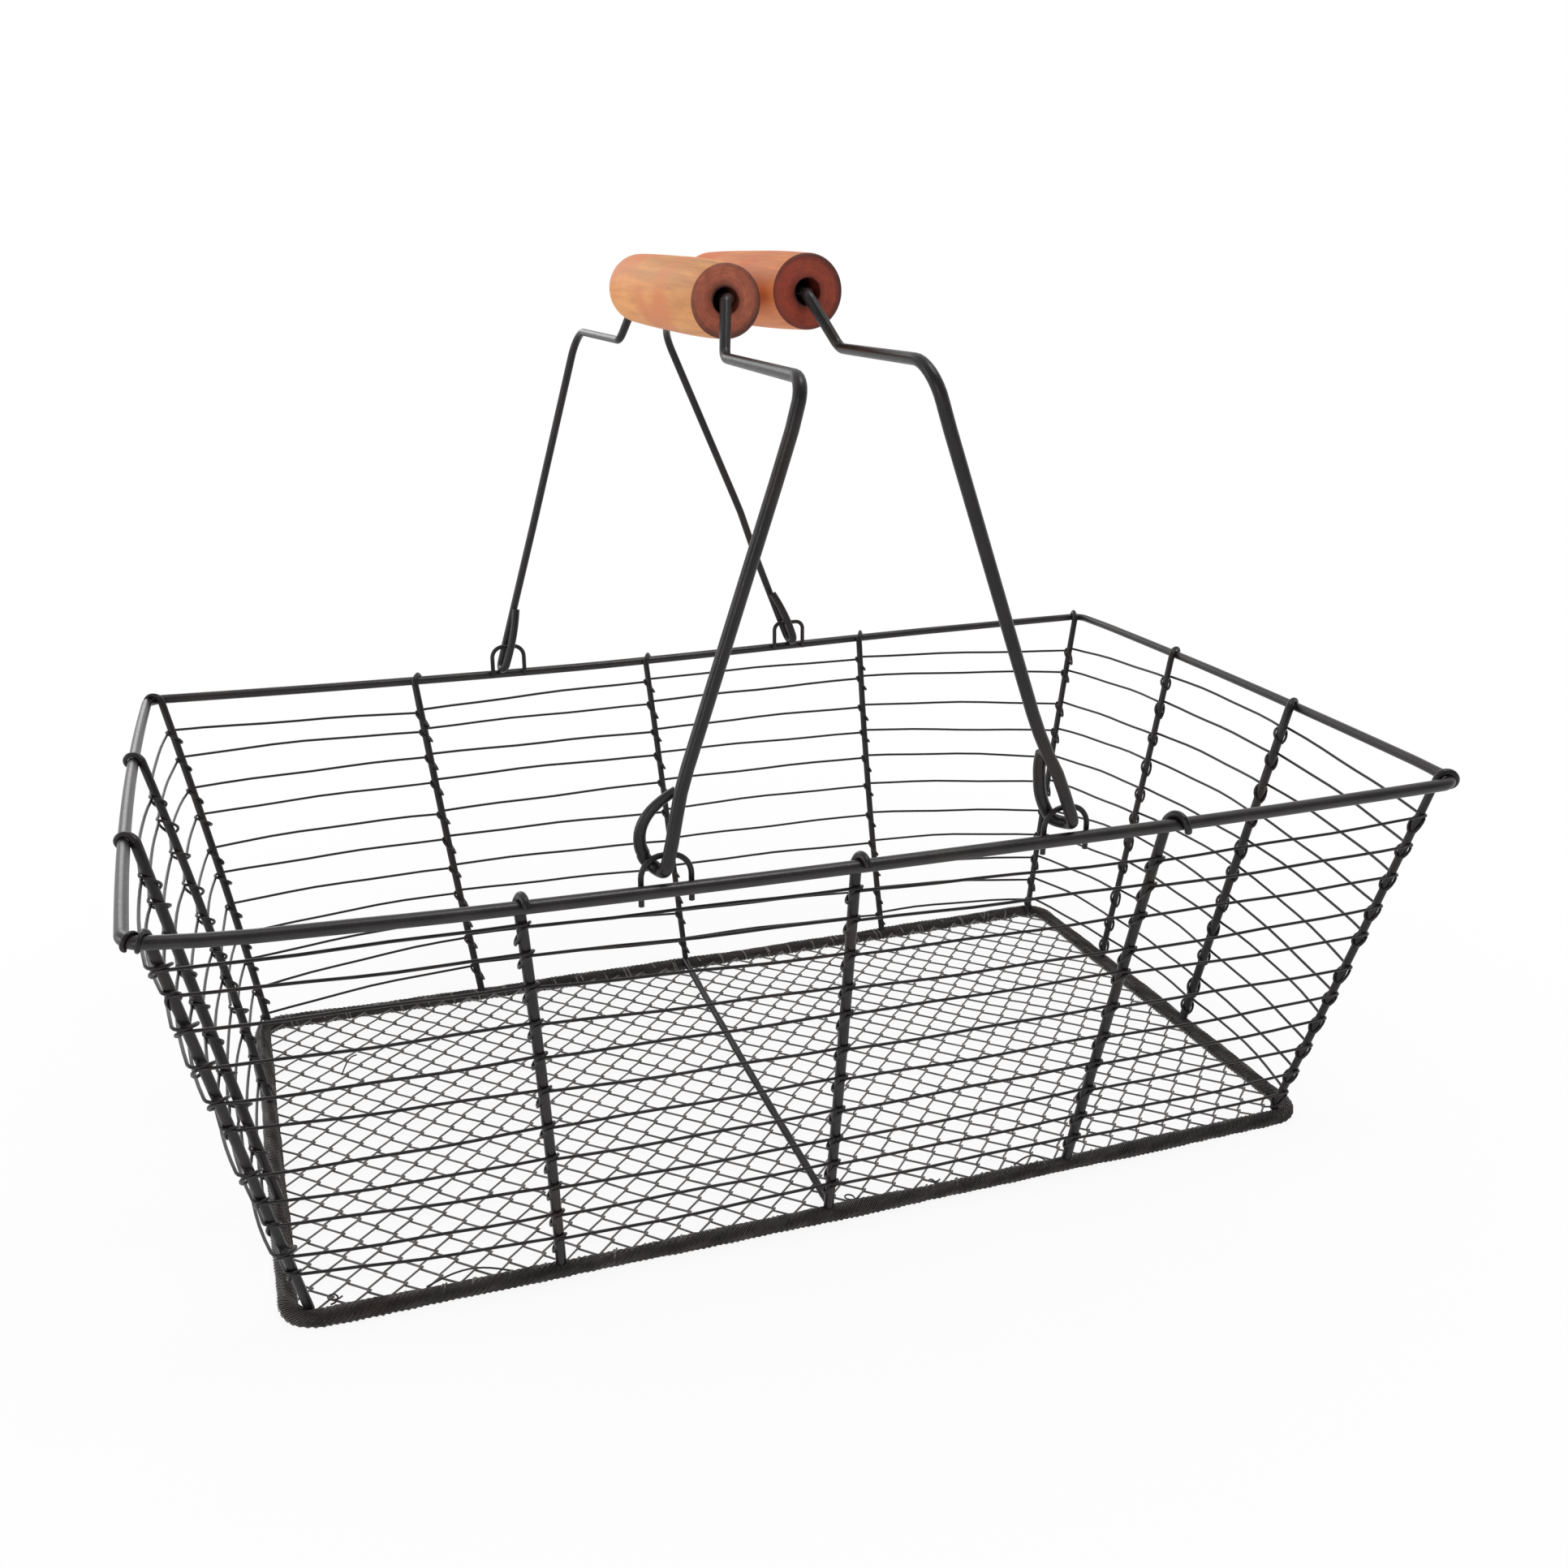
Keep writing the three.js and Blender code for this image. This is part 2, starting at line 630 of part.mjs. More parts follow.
// The bails lean on each other, grip against grip. Given the left bail's inward tilt from
// upright, this is the right bail's.
function rightBailLean(left, right) {
  const touch = GRIP_DIAMETER + SEAT_GAP;
  const height = BAILS.left.gripHeight;
  const reachTo = BAILS.right.gripHeight;
  const toX = left.x + height * Math.sin(LEFT_BAIL_LEAN) - right.x;
  const toZ = left.z + height * Math.cos(LEFT_BAIL_LEAN) - right.z;
  const reach = Math.hypot(toX, toZ);
  const cosine = (reach ** 2 + reachTo ** 2 - touch ** 2) / (2 * reach * reachTo);
  return Math.atan2(-toX, toZ) - Math.acos(cosine);
}

// lean is positive where the bail tilts towards +X.
function bailAssembly(name, place, lean) {
  const bail = BAILS[name];
  const hinge = new THREE.Group();
  hinge.position.set(place.x, 0, place.z);
  hinge.rotation.y = lean;
  const grip = mesh(`grip_${name}`, turnedGrip(), turnedWood());
  grip.position.set(0, GRIP_SLIDE, bail.gripHeight);
  hinge.add(mesh(`bail_${name}`, bailWire(place.stapleY, bail), coatedSteel()), grip);
  return hinge;
}

function bails() {
  const left = bailPlace(BAILS.left);
  const right = bailPlace(BAILS.right);
  return [
    bailAssembly('left', left, LEFT_BAIL_LEAN),
    bailAssembly('right', right, -rightBailLean(left, right)),
  ];
}

const basket = new THREE.Group();
basket.add(rimWire(), baseWire());
basket.add(...cornerRibs());
basket.add(...longSideRibs('front', -1), ...longSideRibs('back', 1));
basket.add(...shortSideRibs('left', -1), ...shortSideRibs('right', 1));
basket.add(...hoops());
basket.add(floorNet(), floorCrossWire());
basket.add(...staples());
basket.add(...bails());

export default basket;
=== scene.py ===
import math

import bpy
from mathutils import Matrix, Vector


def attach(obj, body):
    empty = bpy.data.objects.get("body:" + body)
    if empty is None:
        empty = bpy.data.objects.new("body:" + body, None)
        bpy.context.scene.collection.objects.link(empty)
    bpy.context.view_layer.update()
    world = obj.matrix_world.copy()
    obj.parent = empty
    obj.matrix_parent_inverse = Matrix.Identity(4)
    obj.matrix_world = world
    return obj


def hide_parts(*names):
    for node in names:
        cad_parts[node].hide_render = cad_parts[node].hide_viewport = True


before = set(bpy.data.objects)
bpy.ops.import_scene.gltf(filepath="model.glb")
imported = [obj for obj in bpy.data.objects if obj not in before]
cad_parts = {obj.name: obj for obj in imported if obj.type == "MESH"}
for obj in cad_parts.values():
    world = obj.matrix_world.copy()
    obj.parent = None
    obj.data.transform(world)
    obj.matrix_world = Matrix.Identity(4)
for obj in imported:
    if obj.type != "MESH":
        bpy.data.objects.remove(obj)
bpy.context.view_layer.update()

# Camera. It stands close in front of the basket's left half, at the height of the grips, and
# looks down and to the right across the open top.

MM = 0.001
LENS = 35.715
SENSOR_WIDTH = 36
NEAREST, FARTHEST = 0.01, 50

camera_place = Vector((-170.58, -504.81, 301.78)) * MM
camera_turn = math.radians(19.93)
camera_dip = math.radians(19.06)
camera_roll = math.radians(0.22)

ahead = Vector((
    math.sin(camera_turn) * math.cos(camera_dip),
    math.cos(camera_turn) * math.cos(camera_dip),
    -math.sin(camera_dip),
))
level_right = Vector((math.cos(camera_turn), -math.sin(camera_turn), 0))
level_up = level_right.cross(ahead)
rolled_right = level_right * math.cos(camera_roll) + level_up * math.sin(camera_roll)
rolled_up = level_up * math.cos(camera_roll) - level_right * math.sin(camera_roll)

bpy.ops.object.select_all(action="DESELECT")
bpy.ops.object.camera_add()
camera = bpy.context.object
camera.name = "photo_camera"
camera.matrix_world = Matrix.Translation(camera_place) @ Matrix(
    (rolled_right, rolled_up, -ahead)
).transposed().to_4x4()
camera.data.sensor_width = SENSOR_WIDTH
camera.data.lens = LENS
camera.data.clip_start = NEAREST
camera.data.clip_end = FARTHEST
bpy.context.scene.camera = camera
bpy.context.scene.view_settings.view_transform = "Standard"

# Studio. A white table runs back into white surroundings. One wide soft lamp hangs above the
# basket, and weaker ones stand at the front left, at the left and behind.

WHITE = (1, 1, 1, 1)
ROOM_LIGHT = 0.62
# Mirrored in the wires, the room is white behind the basket and dim in front of it.
ROOM_DIM = 0.35
ROOM_DIM_FRONT, ROOM_DIM_BACK = -0.45, 0.1
TABLE_SIZE = 12
TABLE_PAINT = (0.9, 0.9, 0.9, 1)
# The camera sees that share of the table as pure white, and shadows only in the rest. From
# near to far the share grows to all of it.
TABLE_GLOW = 0.89
TABLE_GLOW_NEAR, TABLE_GLOW_FAR = 0.15, 0.42
# Place, width and power of each.
LAMPS = {
    "overhead_lamp": ((0.3, -0.25, 1.4), 0.5, 5),
    "front_lamp": ((-1.0, -1.1, 0.4), 0.35, 2.5),
    "left_lamp": ((-1.4, 0.3, 0.35), 0.6, 3),
    "back_lamp": ((-0.35, 1.6, 0.7), 0.7, 3),
}


def new_material(name):
    """A material, its nodes, and the place on the piece, by which textures are laid."""
    material = bpy.data.materials.new(name)
    material.use_nodes = True
    tree = material.node_tree
    return material, tree, tree.nodes.new("ShaderNodeTexCoord").outputs["Object"]


def feed(tree, node, inputs):
    """Gives each input of a node its value, or the output that it is linked to."""
    for name, source in inputs.items():
        if isinstance(source, bpy.types.NodeSocket):
            tree.links.new(source, node.inputs[name])
        else:
            node.inputs[name].default_value = source


def lay_node(tree, kind, inputs):
    node = tree.nodes.new("ShaderNode" + kind)
    feed(tree, node, inputs)
    return node


def white_for_camera(tree):
    """1 for the rays that show a thing to the camera, straight, mirrored or through glass."""
    path = tree.nodes.new("ShaderNodeLightPath").outputs
    seen = lay_node(tree, "Math", {0: path["Is Camera Ray"], 1: path["Is Glossy Ray"]})
    seen.operation = "MAXIMUM"
    either = lay_node(tree, "Math", {0: seen.outputs[0], 1: path["Is Transmission Ray"]})
    either.operation = "MAXIMUM"
    return either.outputs[0]


world = bpy.data.worlds.new("white_room")
world.use_nodes = True
tree = world.node_tree
tree.nodes.clear()
compass = lay_node(tree, "SeparateXYZ", {
    0: tree.nodes.new("ShaderNodeTexCoord").outputs["Generated"],
})
dim_front = lay_node(tree, "MapRange", {
    "Value": compass.outputs["Y"], "From Min": ROOM_DIM_FRONT, "From Max": ROOM_DIM_BACK,
    "To Min": ROOM_DIM, "To Max": 1.0,
})
strength = lay_node(tree, "Mix", {
    "Factor": tree.nodes.new("ShaderNodeLightPath").outputs["Is Glossy Ray"],
    "A": 1.0, "B": dim_front.outputs[0],
})
lit = lay_node(tree, "Background", {"Color": WHITE, "Strength": ROOM_LIGHT})
shown = lay_node(tree, "Background", {"Color": WHITE, "Strength": strength.outputs["Result"]})
choice = lay_node(tree, "MixShader", {
    0: white_for_camera(tree), 1: lit.outputs[0], 2: shown.outputs[0],
})
lay_node(tree, "OutputWorld", {0: choice.outputs[0]})
bpy.context.scene.world = world

table_white, tree, where = new_material("table_white")
away = lay_node(tree, "VectorMath", {0: where})
away.operation = "LENGTH"
fade = lay_node(tree, "MapRange", {
    "Value": away.outputs["Value"], "From Min": TABLE_GLOW_NEAR, "From Max": TABLE_GLOW_FAR,
    "To Min": TABLE_GLOW, "To Max": 1.0,
})
share = lay_node(tree, "Math", {0: white_for_camera(tree), 1: fade.outputs[0]})
share.operation = "MULTIPLY"
painted = lay_node(tree, "BsdfDiffuse", {"Color": TABLE_PAINT})
glowing = lay_node(tree, "Emission", {"Color": WHITE, "Strength": 1.0})
choice = lay_node(tree, "MixShader", {
    0: share.outputs[0], 1: painted.outputs[0], 2: glowing.outputs[0],
})
feed(tree, tree.nodes["Material Output"], {0: choice.outputs[0]})

bpy.ops.object.select_all(action="DESELECT")
bpy.ops.mesh.primitive_grid_add(x_subdivisions=8, y_subdivisions=8, size=TABLE_SIZE)
table = bpy.context.object
table.name = "table"
table.data.materials.append(table_white)

for name, (place, size, power) in LAMPS.items():
    bpy.ops.object.light_add(type="AREA", location=place)
    lamp = bpy.context.object
    lamp.name = name
    lamp.data.shape = "DISK"
    lamp.data.size = size
    lamp.data.energy = power
    lamp.rotation_euler = (-Vector(place)).to_track_quat("-Z", "Y").to_euler()

# Rim. One thick steel wire, bent to a rounded rectangle and butt welded, then dipped in a dark
# brown-black coat like the rest of the frame. Its long sides dip a little in the middle, and it
# is twisted a little. The coat ran thicker along the front.

RIM_LENGTH = 410
RIM_WIDTH = 246
RIM_CORNER = 6
RIM_DIP = 2.7
RIM_BOW = 2.4
RIM_Z = 136.617
RIM_WIRE = 3.5
WALL_LEAN_Y = math.radians(9.27)
RIM_POINTS = 16
# How far the corners stand above level: front left and right, then back left and right.
RIM_TWIST = ((0.5, -1.5), (-1.6, 2.2))
# How far the rim stands above that along its front and its back, by distance to the right.
RIM_KINKS = (
    (
        (-205, 2.4), (-195, 1.65), (-180, 0.75), (-150, 0.5), (-130, 0.2), (45, 0.15),
        (110, -0.35), (205, -0.4),
    ),
    (
        (-205, 0), (-30, -0.1), (45, 0.62), (82, 0.82), (120, 0.64), (150, 0.09), (180, -0.47),
        (205, -1.2),
    ),
)
# The same along its right side, by distance to the back.
RIM_RIGHT_RISE = ((-117, 0.5), (-105, 0.95), (20, 0.95), (100, 0.65), (117, 0.3))
# Thickness of the coated wire as a share, at the same corners, and what the run adds to it.
RIM_COATS = ((1.07, 1.0), (1.0, 0.86))
RIM_RUN = 0.18
RIM_RUN_ONSET = 0.6
RIM_RUN_FADE = 20
# The rim's coat is a little lighter and more reflective than the rest: a painted highlight.
FRAME_TONE, COAT_GLOSS = (0.0105, 0.0085, 0.0088), 1.4
RIM_LIT_TONE, RIM_HIGHLIGHT_GLOSS = (0.012, 0.0092, 0.0095), 1.5
RUST = (0.034, 0.018, 0.015, 1)
STEEL_ROUGHNESS = (0.26, 0.44)
SMOOTH_ANGLE = math.radians(50)


def lay_noise(tree, inputs):
    return lay_node(tree, "TexNoise", inputs).outputs["Fac"]


def lay_bumps(tree, texture, strength, height):
    inputs = {"Height": texture, "Strength": strength, "Distance": height}
    return lay_node(tree, "Bump", inputs).outputs[0]


def lay_polish(tree, texture, smooth, rough):
    inputs = {"Value": texture, "To Min": smooth, "To Max": rough}
    return lay_node(tree, "MapRange", inputs).outputs[0]


def lay_mix(tree, kind, amount, under, over):
    mix = lay_node(tree, "MixRGB", {"Fac": amount, "Color1": under, "Color2": over})
    mix.blend_type = kind
    return mix.outputs[0]


def lay_ramp(tree, source, first, last, between=()):
    """Colours along a source: each stop is a place on it and a colour."""
    ramp = lay_node(tree, "ValToRGB", {0: source})
    stops = ramp.color_ramp.elements
    for stop, (place, colour) in zip(stops, (first, last)):
        stop.position = place
        stop.color = (*colour, 1)
    for place, colour in between:
        stops.new(place).color = (*colour, 1)
    return ramp.outputs[0]


def shaded(tone, level):
    return [c * level for c in tone]


def coated_steel(name, tone, rust, scale, gloss):
    """Dark coat over drawn steel: uneven in tone, with brown worn places and fine bumps."""
    steel, tree, where = new_material(name)
    cloud = lay_noise(tree, {"Vector": where, "Scale": 90 * scale, "Detail": 4})
    specks = lay_noise(tree, {"Vector": where, "Scale": 900 * scale, "Detail": 3})
    worn = lay_noise(tree, {"Vector": where, "Scale": 35 * scale, "Detail": 6})
    shade = lay_ramp(tree, cloud, (0.35, shaded(tone, 0.7)), (0.7, shaded(tone, 1.5)))
    spots = lay_ramp(tree, worn, (0.55, (0, 0, 0)), (0.72, (rust, rust, rust)))
    feed(tree, tree.nodes["Principled BSDF"], {
        "IOR": gloss,
        "Base Color": lay_mix(tree, "MIX", spots, shade, RUST),
        "Roughness": lay_polish(tree, specks, *STEEL_ROUGHNESS),
        "Normal": lay_bumps(tree, specks, 0.2, 0.00015),
    })
    return steel


frame_coat = coated_steel("frame_coat", FRAME_TONE, 0.5, 1.0, COAT_GLOSS)
# The rim's coat is the frame's, made lighter and more reflective as a painted highlight.
lit_rim_coat = coated_steel("lit_rim_coat", RIM_LIT_TONE, 0.5, 1.0, RIM_HIGHLIGHT_GLOSS)


def draw_wires(name, runs, thickness, sides, finish, closed=False, swell=None):
    """Round wires through runs of points in millimetres, drawn as one piece. Swell is the
    wire's thickness at each point, as a share."""
    bpy.ops.object.select_all(action="DESELECT")
    bpy.ops.curve.primitive_bezier_curve_add(location=(0, 0, 0))
    wires = bpy.context.object
    wires.name = name
    wires.data.splines.clear()
    for points in runs:
        run = wires.data.splines.new("POLY")
        run.points.add(len(points) - 1)
        for knot, point, share in zip(run.points, points, swell or [1] * len(points)):
            knot.co = (*(Vector(point) * MM), 1)
            knot.radius = share
        run.use_cyclic_u = closed
    wires.data.dimensions = "3D"
    wires.data.bevel_depth = thickness / 2 * MM
    wires.data.bevel_resolution = (sides - 4) // 2
    wires.data.use_fill_caps = True
    bpy.ops.object.convert(target="MESH")
    wires = bpy.context.object
    wires.data.materials.clear()
    wires.data.materials.append(finish)
    return wires


def fit_wire(
    node, points, thickness, sides=12, closed=False, body="basket", swell=None, finish=frame_coat,
):
    """Draws the wire that is seen in place of the CAD node of that name."""
    wire = draw_wires(node + "_drawn", [points], thickness, sides, finish, closed, swell)
    bpy.ops.object.shade_smooth_by_angle(angle=SMOOTH_ANGLE)
    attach(wire, body)
    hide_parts(node)


def rim_on_long_side(sign, x):
    travel = x / (RIM_LENGTH / 2 - RIM_CORNER)
    curve = 1 - travel * travel
    y = RIM_WIDTH / 2 - RIM_DIP * math.tan(WALL_LEAN_Y) * curve
    return Vector((x, sign * y, RIM_Z - RIM_DIP * curve))


def rim_on_short_side(sign, y):
    travel = y / (RIM_WIDTH / 2 - RIM_CORNER)
    x = RIM_LENGTH / 2 + RIM_BOW * (1 - travel * travel)
    return Vector((sign * x, y, RIM_Z))


def corner_arc(half_x, half_y, radius, quarter, z, steps=9):
    sign_x = 1 if quarter in (0, 3) else -1
    sign_y = 1 if quarter < 2 else -1
    points = []
    for i in range(steps + 1):
        angle = (quarter + i / steps) * math.pi / 2
        x = sign_x * (half_x - radius) + radius * math.cos(angle)
        y = sign_y * (half_y - radius) + radius * math.sin(angle)
        points.append(Vector((x, y, z)))
    return points


def read_off(pairs, place):
    """The value at that place, on a line through (place, value) pairs."""
    for (low, low_value), (high, high_value) in zip(pairs, pairs[1:]):
        if place <= high:
            share = max(0.0, place - low) / (high - low)
            return low_value + (high_value - low_value) * share
    return pairs[-1][1]


def on_twisted_rim(point):
    """The same place on the rim once it is twisted: the corners stand above or below level."""
    across = point.x / RIM_LENGTH + 0.5
    deep = point.y / RIM_WIDTH + 0.5
    front, back = (
        left * (1 - across) + right * across + read_off(kinks, point.x)
        for (left, right), kinks in zip(RIM_TWIST, RIM_KINKS)
    )
    at_right = max(0.0, min(1.0, (point.x - RIM_LENGTH / 2) / RIM_CORNER + 1))
    rise = read_off(RIM_RIGHT_RISE, point.y) * at_right
    return point + Vector((0, 0, front * (1 - deep) + back * deep + rise))


def rim_swell(point):
    """Thickness of the coated rim there, as a share: the coat ran along the front to the right."""
    across = max(0.0, point.x / RIM_LENGTH + 0.5)
    deep = point.y / RIM_WIDTH + 0.5
    front, back = (left * (1 - across) + right * across for left, right in RIM_COATS)
    run = RIM_RUN * across ** RIM_RUN_ONSET * max(0.0, 1 - RIM_RUN_FADE * deep)
    return front * (1 - deep) + back * deep + run


rim_points = []
for quarter, (on_side, length, sign, heading) in enumerate((
    (rim_on_long_side, RIM_LENGTH, 1, 1), (rim_on_short_side, RIM_WIDTH, -1, 1),
    (rim_on_long_side, RIM_LENGTH, -1, -1), (rim_on_short_side, RIM_WIDTH, 1, -1),
)):
    rim_points += corner_arc(RIM_LENGTH / 2, RIM_WIDTH / 2, RIM_CORNER, quarter, RIM_Z)
    reach = heading * (length / 2 - RIM_CORNER)
    rim_points += [on_side(sign, reach * (1 - i / RIM_POINTS)) for i in range(1, 2 * RIM_POINTS)]
fit_wire(
    "rim_wire", [on_twisted_rim(p) for p in rim_points], RIM_WIRE, sides=20, closed=True,
    swell=[rim_swell(p) for p in rim_points], finish=lit_rim_coat,
)

# Base wire. The same wire in a smaller rounded rectangle. The basket stands on it and on the
# thin lacing round it.

BASE_LENGTH = 353
BASE_WIDTH = 196
BASE_CORNER = 9
BASE_WIRE = 3.3
BASE_Z = 2.1
# How far each long side is bowed, the back one and the front one.
BASE_BOW = {1: -2.4, -1: -1.5}
BASE_POINTS = 8


def on_bowed_base(point):
    """The same place once the long sides of the base are bowed towards the front."""
    travel = point.x / (BASE_LENGTH / 2)
    sideways = point.y / (BASE_WIDTH / 2)
    bow = BASE_BOW[1 if point.y > 0 else -1] * (1 - travel * travel)
    return point + Vector((0, bow * abs(sideways), 0))


def base_edge(x):
    """Half the width of the base wire's outline there, less at its rounded corners."""
    past = max(0.0, min(BASE_CORNER, abs(x) - (BASE_LENGTH / 2 - BASE_CORNER)))
    return BASE_WIDTH / 2 - BASE_CORNER + math.sqrt(BASE_CORNER ** 2 - past ** 2)


base_points = []
for quarter in range(4):
    base_points += corner_arc(BASE_LENGTH / 2, BASE_WIDTH / 2, BASE_CORNER, quarter, BASE_Z)
    if quarter % 2 == 0:
        sign = 1 - quarter
        reach = sign * (BASE_LENGTH / 2 - BASE_CORNER)
        base_points += [
            Vector((reach * (1 - i / BASE_POINTS), sign * BASE_WIDTH / 2, BASE_Z))
            for i in range(1, 2 * BASE_POINTS)
        ]
base_points = [on_bowed_base(p) for p in base_points]
fit_wire("base_wire", base_points, BASE_WIRE, sides=16, closed=True)

# Ribs. Fourteen straight wires stand on the base wire, pass inside the rim and hook over it.
# They were set by eye, so each has its own place.

RIB_WIRE = 2.4
RIB_FOOT_Z = 3.667
RIB_STEPS = 10
# Places of the ribs on the rim and on the base wire, from the left or from the front.
RIB_PLACES = {
    "front": ((-107, -9.5, 92.5), (-96.5, -6.5, 82.5)),
    "back": ((-103, -5.5, 93.5), (-88, 1.5, 95.5)),
    "left": ((-47.5, 36.5), (-35, 31)),
    "right": ((-36, 45), (-25, 37)),
}
# How each rib stands off its straight line, at its foot, half way up and at the rim, to the right.
RIB_BENDS = {
    "rib_front_left": (0.3, 1.1, 0.4),
    "rib_front_middle": (-1.1, 0.3, 1.0),
    "rib_front_right": (-1.6, 0.7, 3.3),
    "rib_back_left": (-0.2, -0.9, -0.7),
    "rib_back_middle": (-0.1, -0.5, -1.4),
    "rib_back_right": (0.1, -2.2, -2.2),
    "rib_left_front": (0, 0, 0.5),
    "rib_left_back": (0, 1.5, 0.1),
    "rib_right_front": (0.3, -0.4, -0.9),
    "rib_right_back": (-0.8, -0.1, 0.0),
    "corner_rib_front_left": (2.9, 3.2, 3.8),
    "corner_rib_front_right": (-4.8, -2.4, -1.5),
    "corner_rib_back_left": (-0.4, 1.5, 1.7),
    "corner_rib_back_right": (-3.4, -2.8, -1.2),
}
RIB_HOOK = 3.18
HOOK_STEPS = 16
# Angle at which a hook ends, in degrees, and how far it slants along the rim. Two front ribs are
# cut off on top of the rim. The others' tails hang over it.
HOOK_END = (-35, 4)
OTHER_HOOK_ENDS = {
    "rib_front_left": (12, 1.2), "rib_front_middle": (12, 1.2),
    "corner_rib_front_right": (-60, 4),
}
# Thickness of the coated ribs as a share, by a part of their names. The first that fits counts.
THICK_COAT = {
    "corner_rib_front_left": 1.27, "corner_rib_front_right": 1.15,
    "front": 1.4, "left": 1.2, "right": 1.1, "back": 1.02,
}
# The front ribs' hooks stand off the rim. The others are tighter and hammered thin on it.
HOOK_RADII = {
    "corner_rib_front_right": 2.9, "rib_left": 2.7, "rib_right": 2.65, "front": 3.18, "back": 2.5,
}
STANDING_HOOK = 2.8
HAMMERED = 0.66
HAMMER_FADE = 4
# The front left corner rib ends in a coil round the front of the rim, wound towards the corner.
# Over its first ninth the coil tightens and its wire thins.
COIL_RIB = "corner_rib_front_left"
COIL_X = -203.0
COIL_FIRST_HOOK, COIL_HOOK = 2.98, 2.3
COIL_TAIL = -425
COIL_LENGTH = 4.9
COIL_END = 0.5
COIL_FADE = 9
COIL_STEPS = 64
UP = Vector((0, 0, 1))


def lean_of(run, rise):
    return math.atan2(run, rise) - math.asin(RIB_HOOK / math.hypot(run, rise))


def corner_point(length, width, radius, sign_x, sign_y, z):
    inset = radius * (1 - math.sqrt(0.5))
    return Vector((sign_x * (length / 2 - inset), sign_y * (width / 2 - inset), z))


def bent_by(node, share):
    """The rib's stand-off at that share of its height, on a curve through its three values."""
    foot, middle, head = RIB_BENDS[node]
    return Vector((
        foot * (1 - share) * (1 - 2 * share)
        + middle * 4 * share * (1 - share)
        + head * share * (2 * share - 1),
        0,
        0,
    ))


# Each rib's foot, its place on the rim, the way out from the basket and the way along the rim.
ribs = {}
for side, sign in (("front", -1), ("back", 1)):
    for place, top, foot in zip(("left", "middle", "right"), *RIB_PLACES[side]):
        foot = Vector((foot, sign * BASE_WIDTH / 2, RIB_FOOT_Z))
        rim, outward = rim_on_long_side(sign, top), Vector((0, sign, 0))
        ribs[f"rib_{side}_{place}"] = (foot, rim, outward, Vector((1, 0, 0)))
for side, sign in (("left", -1), ("right", 1)):
    for place, top, foot in zip(("front", "back"), *RIB_PLACES[side]):
        foot = Vector((sign * BASE_LENGTH / 2, foot, RIB_FOOT_Z))
        rim, outward = rim_on_short_side(sign, top), Vector((sign, 0, 0))
        ribs[f"rib_{side}_{place}"] = (foot, rim, outward, Vector((0, 1, 0)))
for depth, sign_y in (("front", -1), ("back", 1)):
    for hand, sign_x in (("left", -1), ("right", 1)):
        foot = corner_point(BASE_LENGTH, BASE_WIDTH, BASE_CORNER, sign_x, sign_y, RIB_FOOT_Z)
        rim = corner_point(RIM_LENGTH, RIM_WIDTH, RIM_CORNER, sign_x, sign_y, RIM_Z)
        outward = Vector((sign_x, sign_y, 0)).normalized()
        along = Vector((-sign_y, sign_x, 0)).normalized()
        ribs[f"corner_rib_{depth}_{hand}"] = (foot, rim, outward, along)
rib_lines = {}
for node, (foot, rim, outward, along) in ribs.items():
    hook_out = next(radius for side, radius in HOOK_RADII.items() if side in node)
    coat = next(share for side, share in THICK_COAT.items() if side in node)
    coat_end = 1 if hook_out > STANDING_HOOK else HAMMERED
    tail, advance = OTHER_HOOK_ENDS.get(node, HOOK_END)
    steps = HOOK_STEPS
    if node == COIL_RIB:
        tail, steps, coat_end = COIL_TAIL, COIL_STEPS, COIL_END
        rim = Vector((COIL_X, -RIM_WIDTH / 2, RIM_Z))
        outward = Vector((0, -1, 0))
    rim = on_twisted_rim(rim)
    foot = on_bowed_base(foot)
    start = math.pi - lean_of((rim - foot).dot(outward), rim.z - foot.z)
    top = rim + (outward * math.cos(start) + UP * math.sin(start)) * hook_out
    points = [
        foot.lerp(top, i / RIB_STEPS) + bent_by(node, i / RIB_STEPS) for i in range(RIB_STEPS)
    ]
    swell = [coat] * RIB_STEPS
    for i in range(steps + 1):
        share = i / steps
        angle = start - (start - math.radians(tail)) * share
        if node == COIL_RIB:
            left = max(0.0, 1 - COIL_FADE * share)
            hook_out = COIL_HOOK + (COIL_FIRST_HOOK - COIL_HOOK) * left
            round_corner = COIL_LENGTH / RIM_CORNER * share
            outward = Vector((-math.sin(round_corner), -math.cos(round_corner), 0))
            slid = (outward + Vector((0, 1, 0))) * RIM_CORNER
        else:
            left = (1 - share) ** HAMMER_FADE
            slid = along * advance * share
        hook = outward * math.cos(angle) + UP * math.sin(angle)
        points.append(rim + hook * hook_out + slid + bent_by(node, 1))
        swell.append(coat_end + (coat - coat_end) * left)
    rib_lines[node] = (foot, top, coat * RIB_WIRE)
    fit_wire(node, points, RIB_WIRE, sides=14, swell=swell)

# Hoops. Eleven thin wires go round outside the ribs, each wound once round every rib on its
# way, so a slanting turn shows at each crossing. Wound by hand, they drift up and down, and
# between the ribs they stand out a little.

HOOPS = 11
HOOP_WIRE = 1.0
# A turn round a rib, in degrees: it starts, falls behind the rib and climbs again.
TURN_START, TURN_SWEEP = -30, 420
TURN_FALL, FALL_SWEEP = 40, 235
TURN_CLIMB, CLIMB_SWEEP = 262, 128
TURN_STEPS = 19
TURN_DROP, TURN_DROP_VARIES = 5.6, 1.1
# How far the turns stand off a rib. Here and below, the other numbers in the sines only keep
# neighbours from being alike.
SNUG_TURN = 0.15
LOOSE_TURNS = {
    "corner_rib_front_left": 1.3, "rib_left_front": 1.0, "rib_left_back": 0.8,
    "corner_rib_back_left": 0.6,
}
WALL_FOOT_Z = 2.5
BAY_STEPS = 8
BAY_WAVE = 0.28
BAY_BOW, BAY_BOW_VARIES = 0.8, 0.4
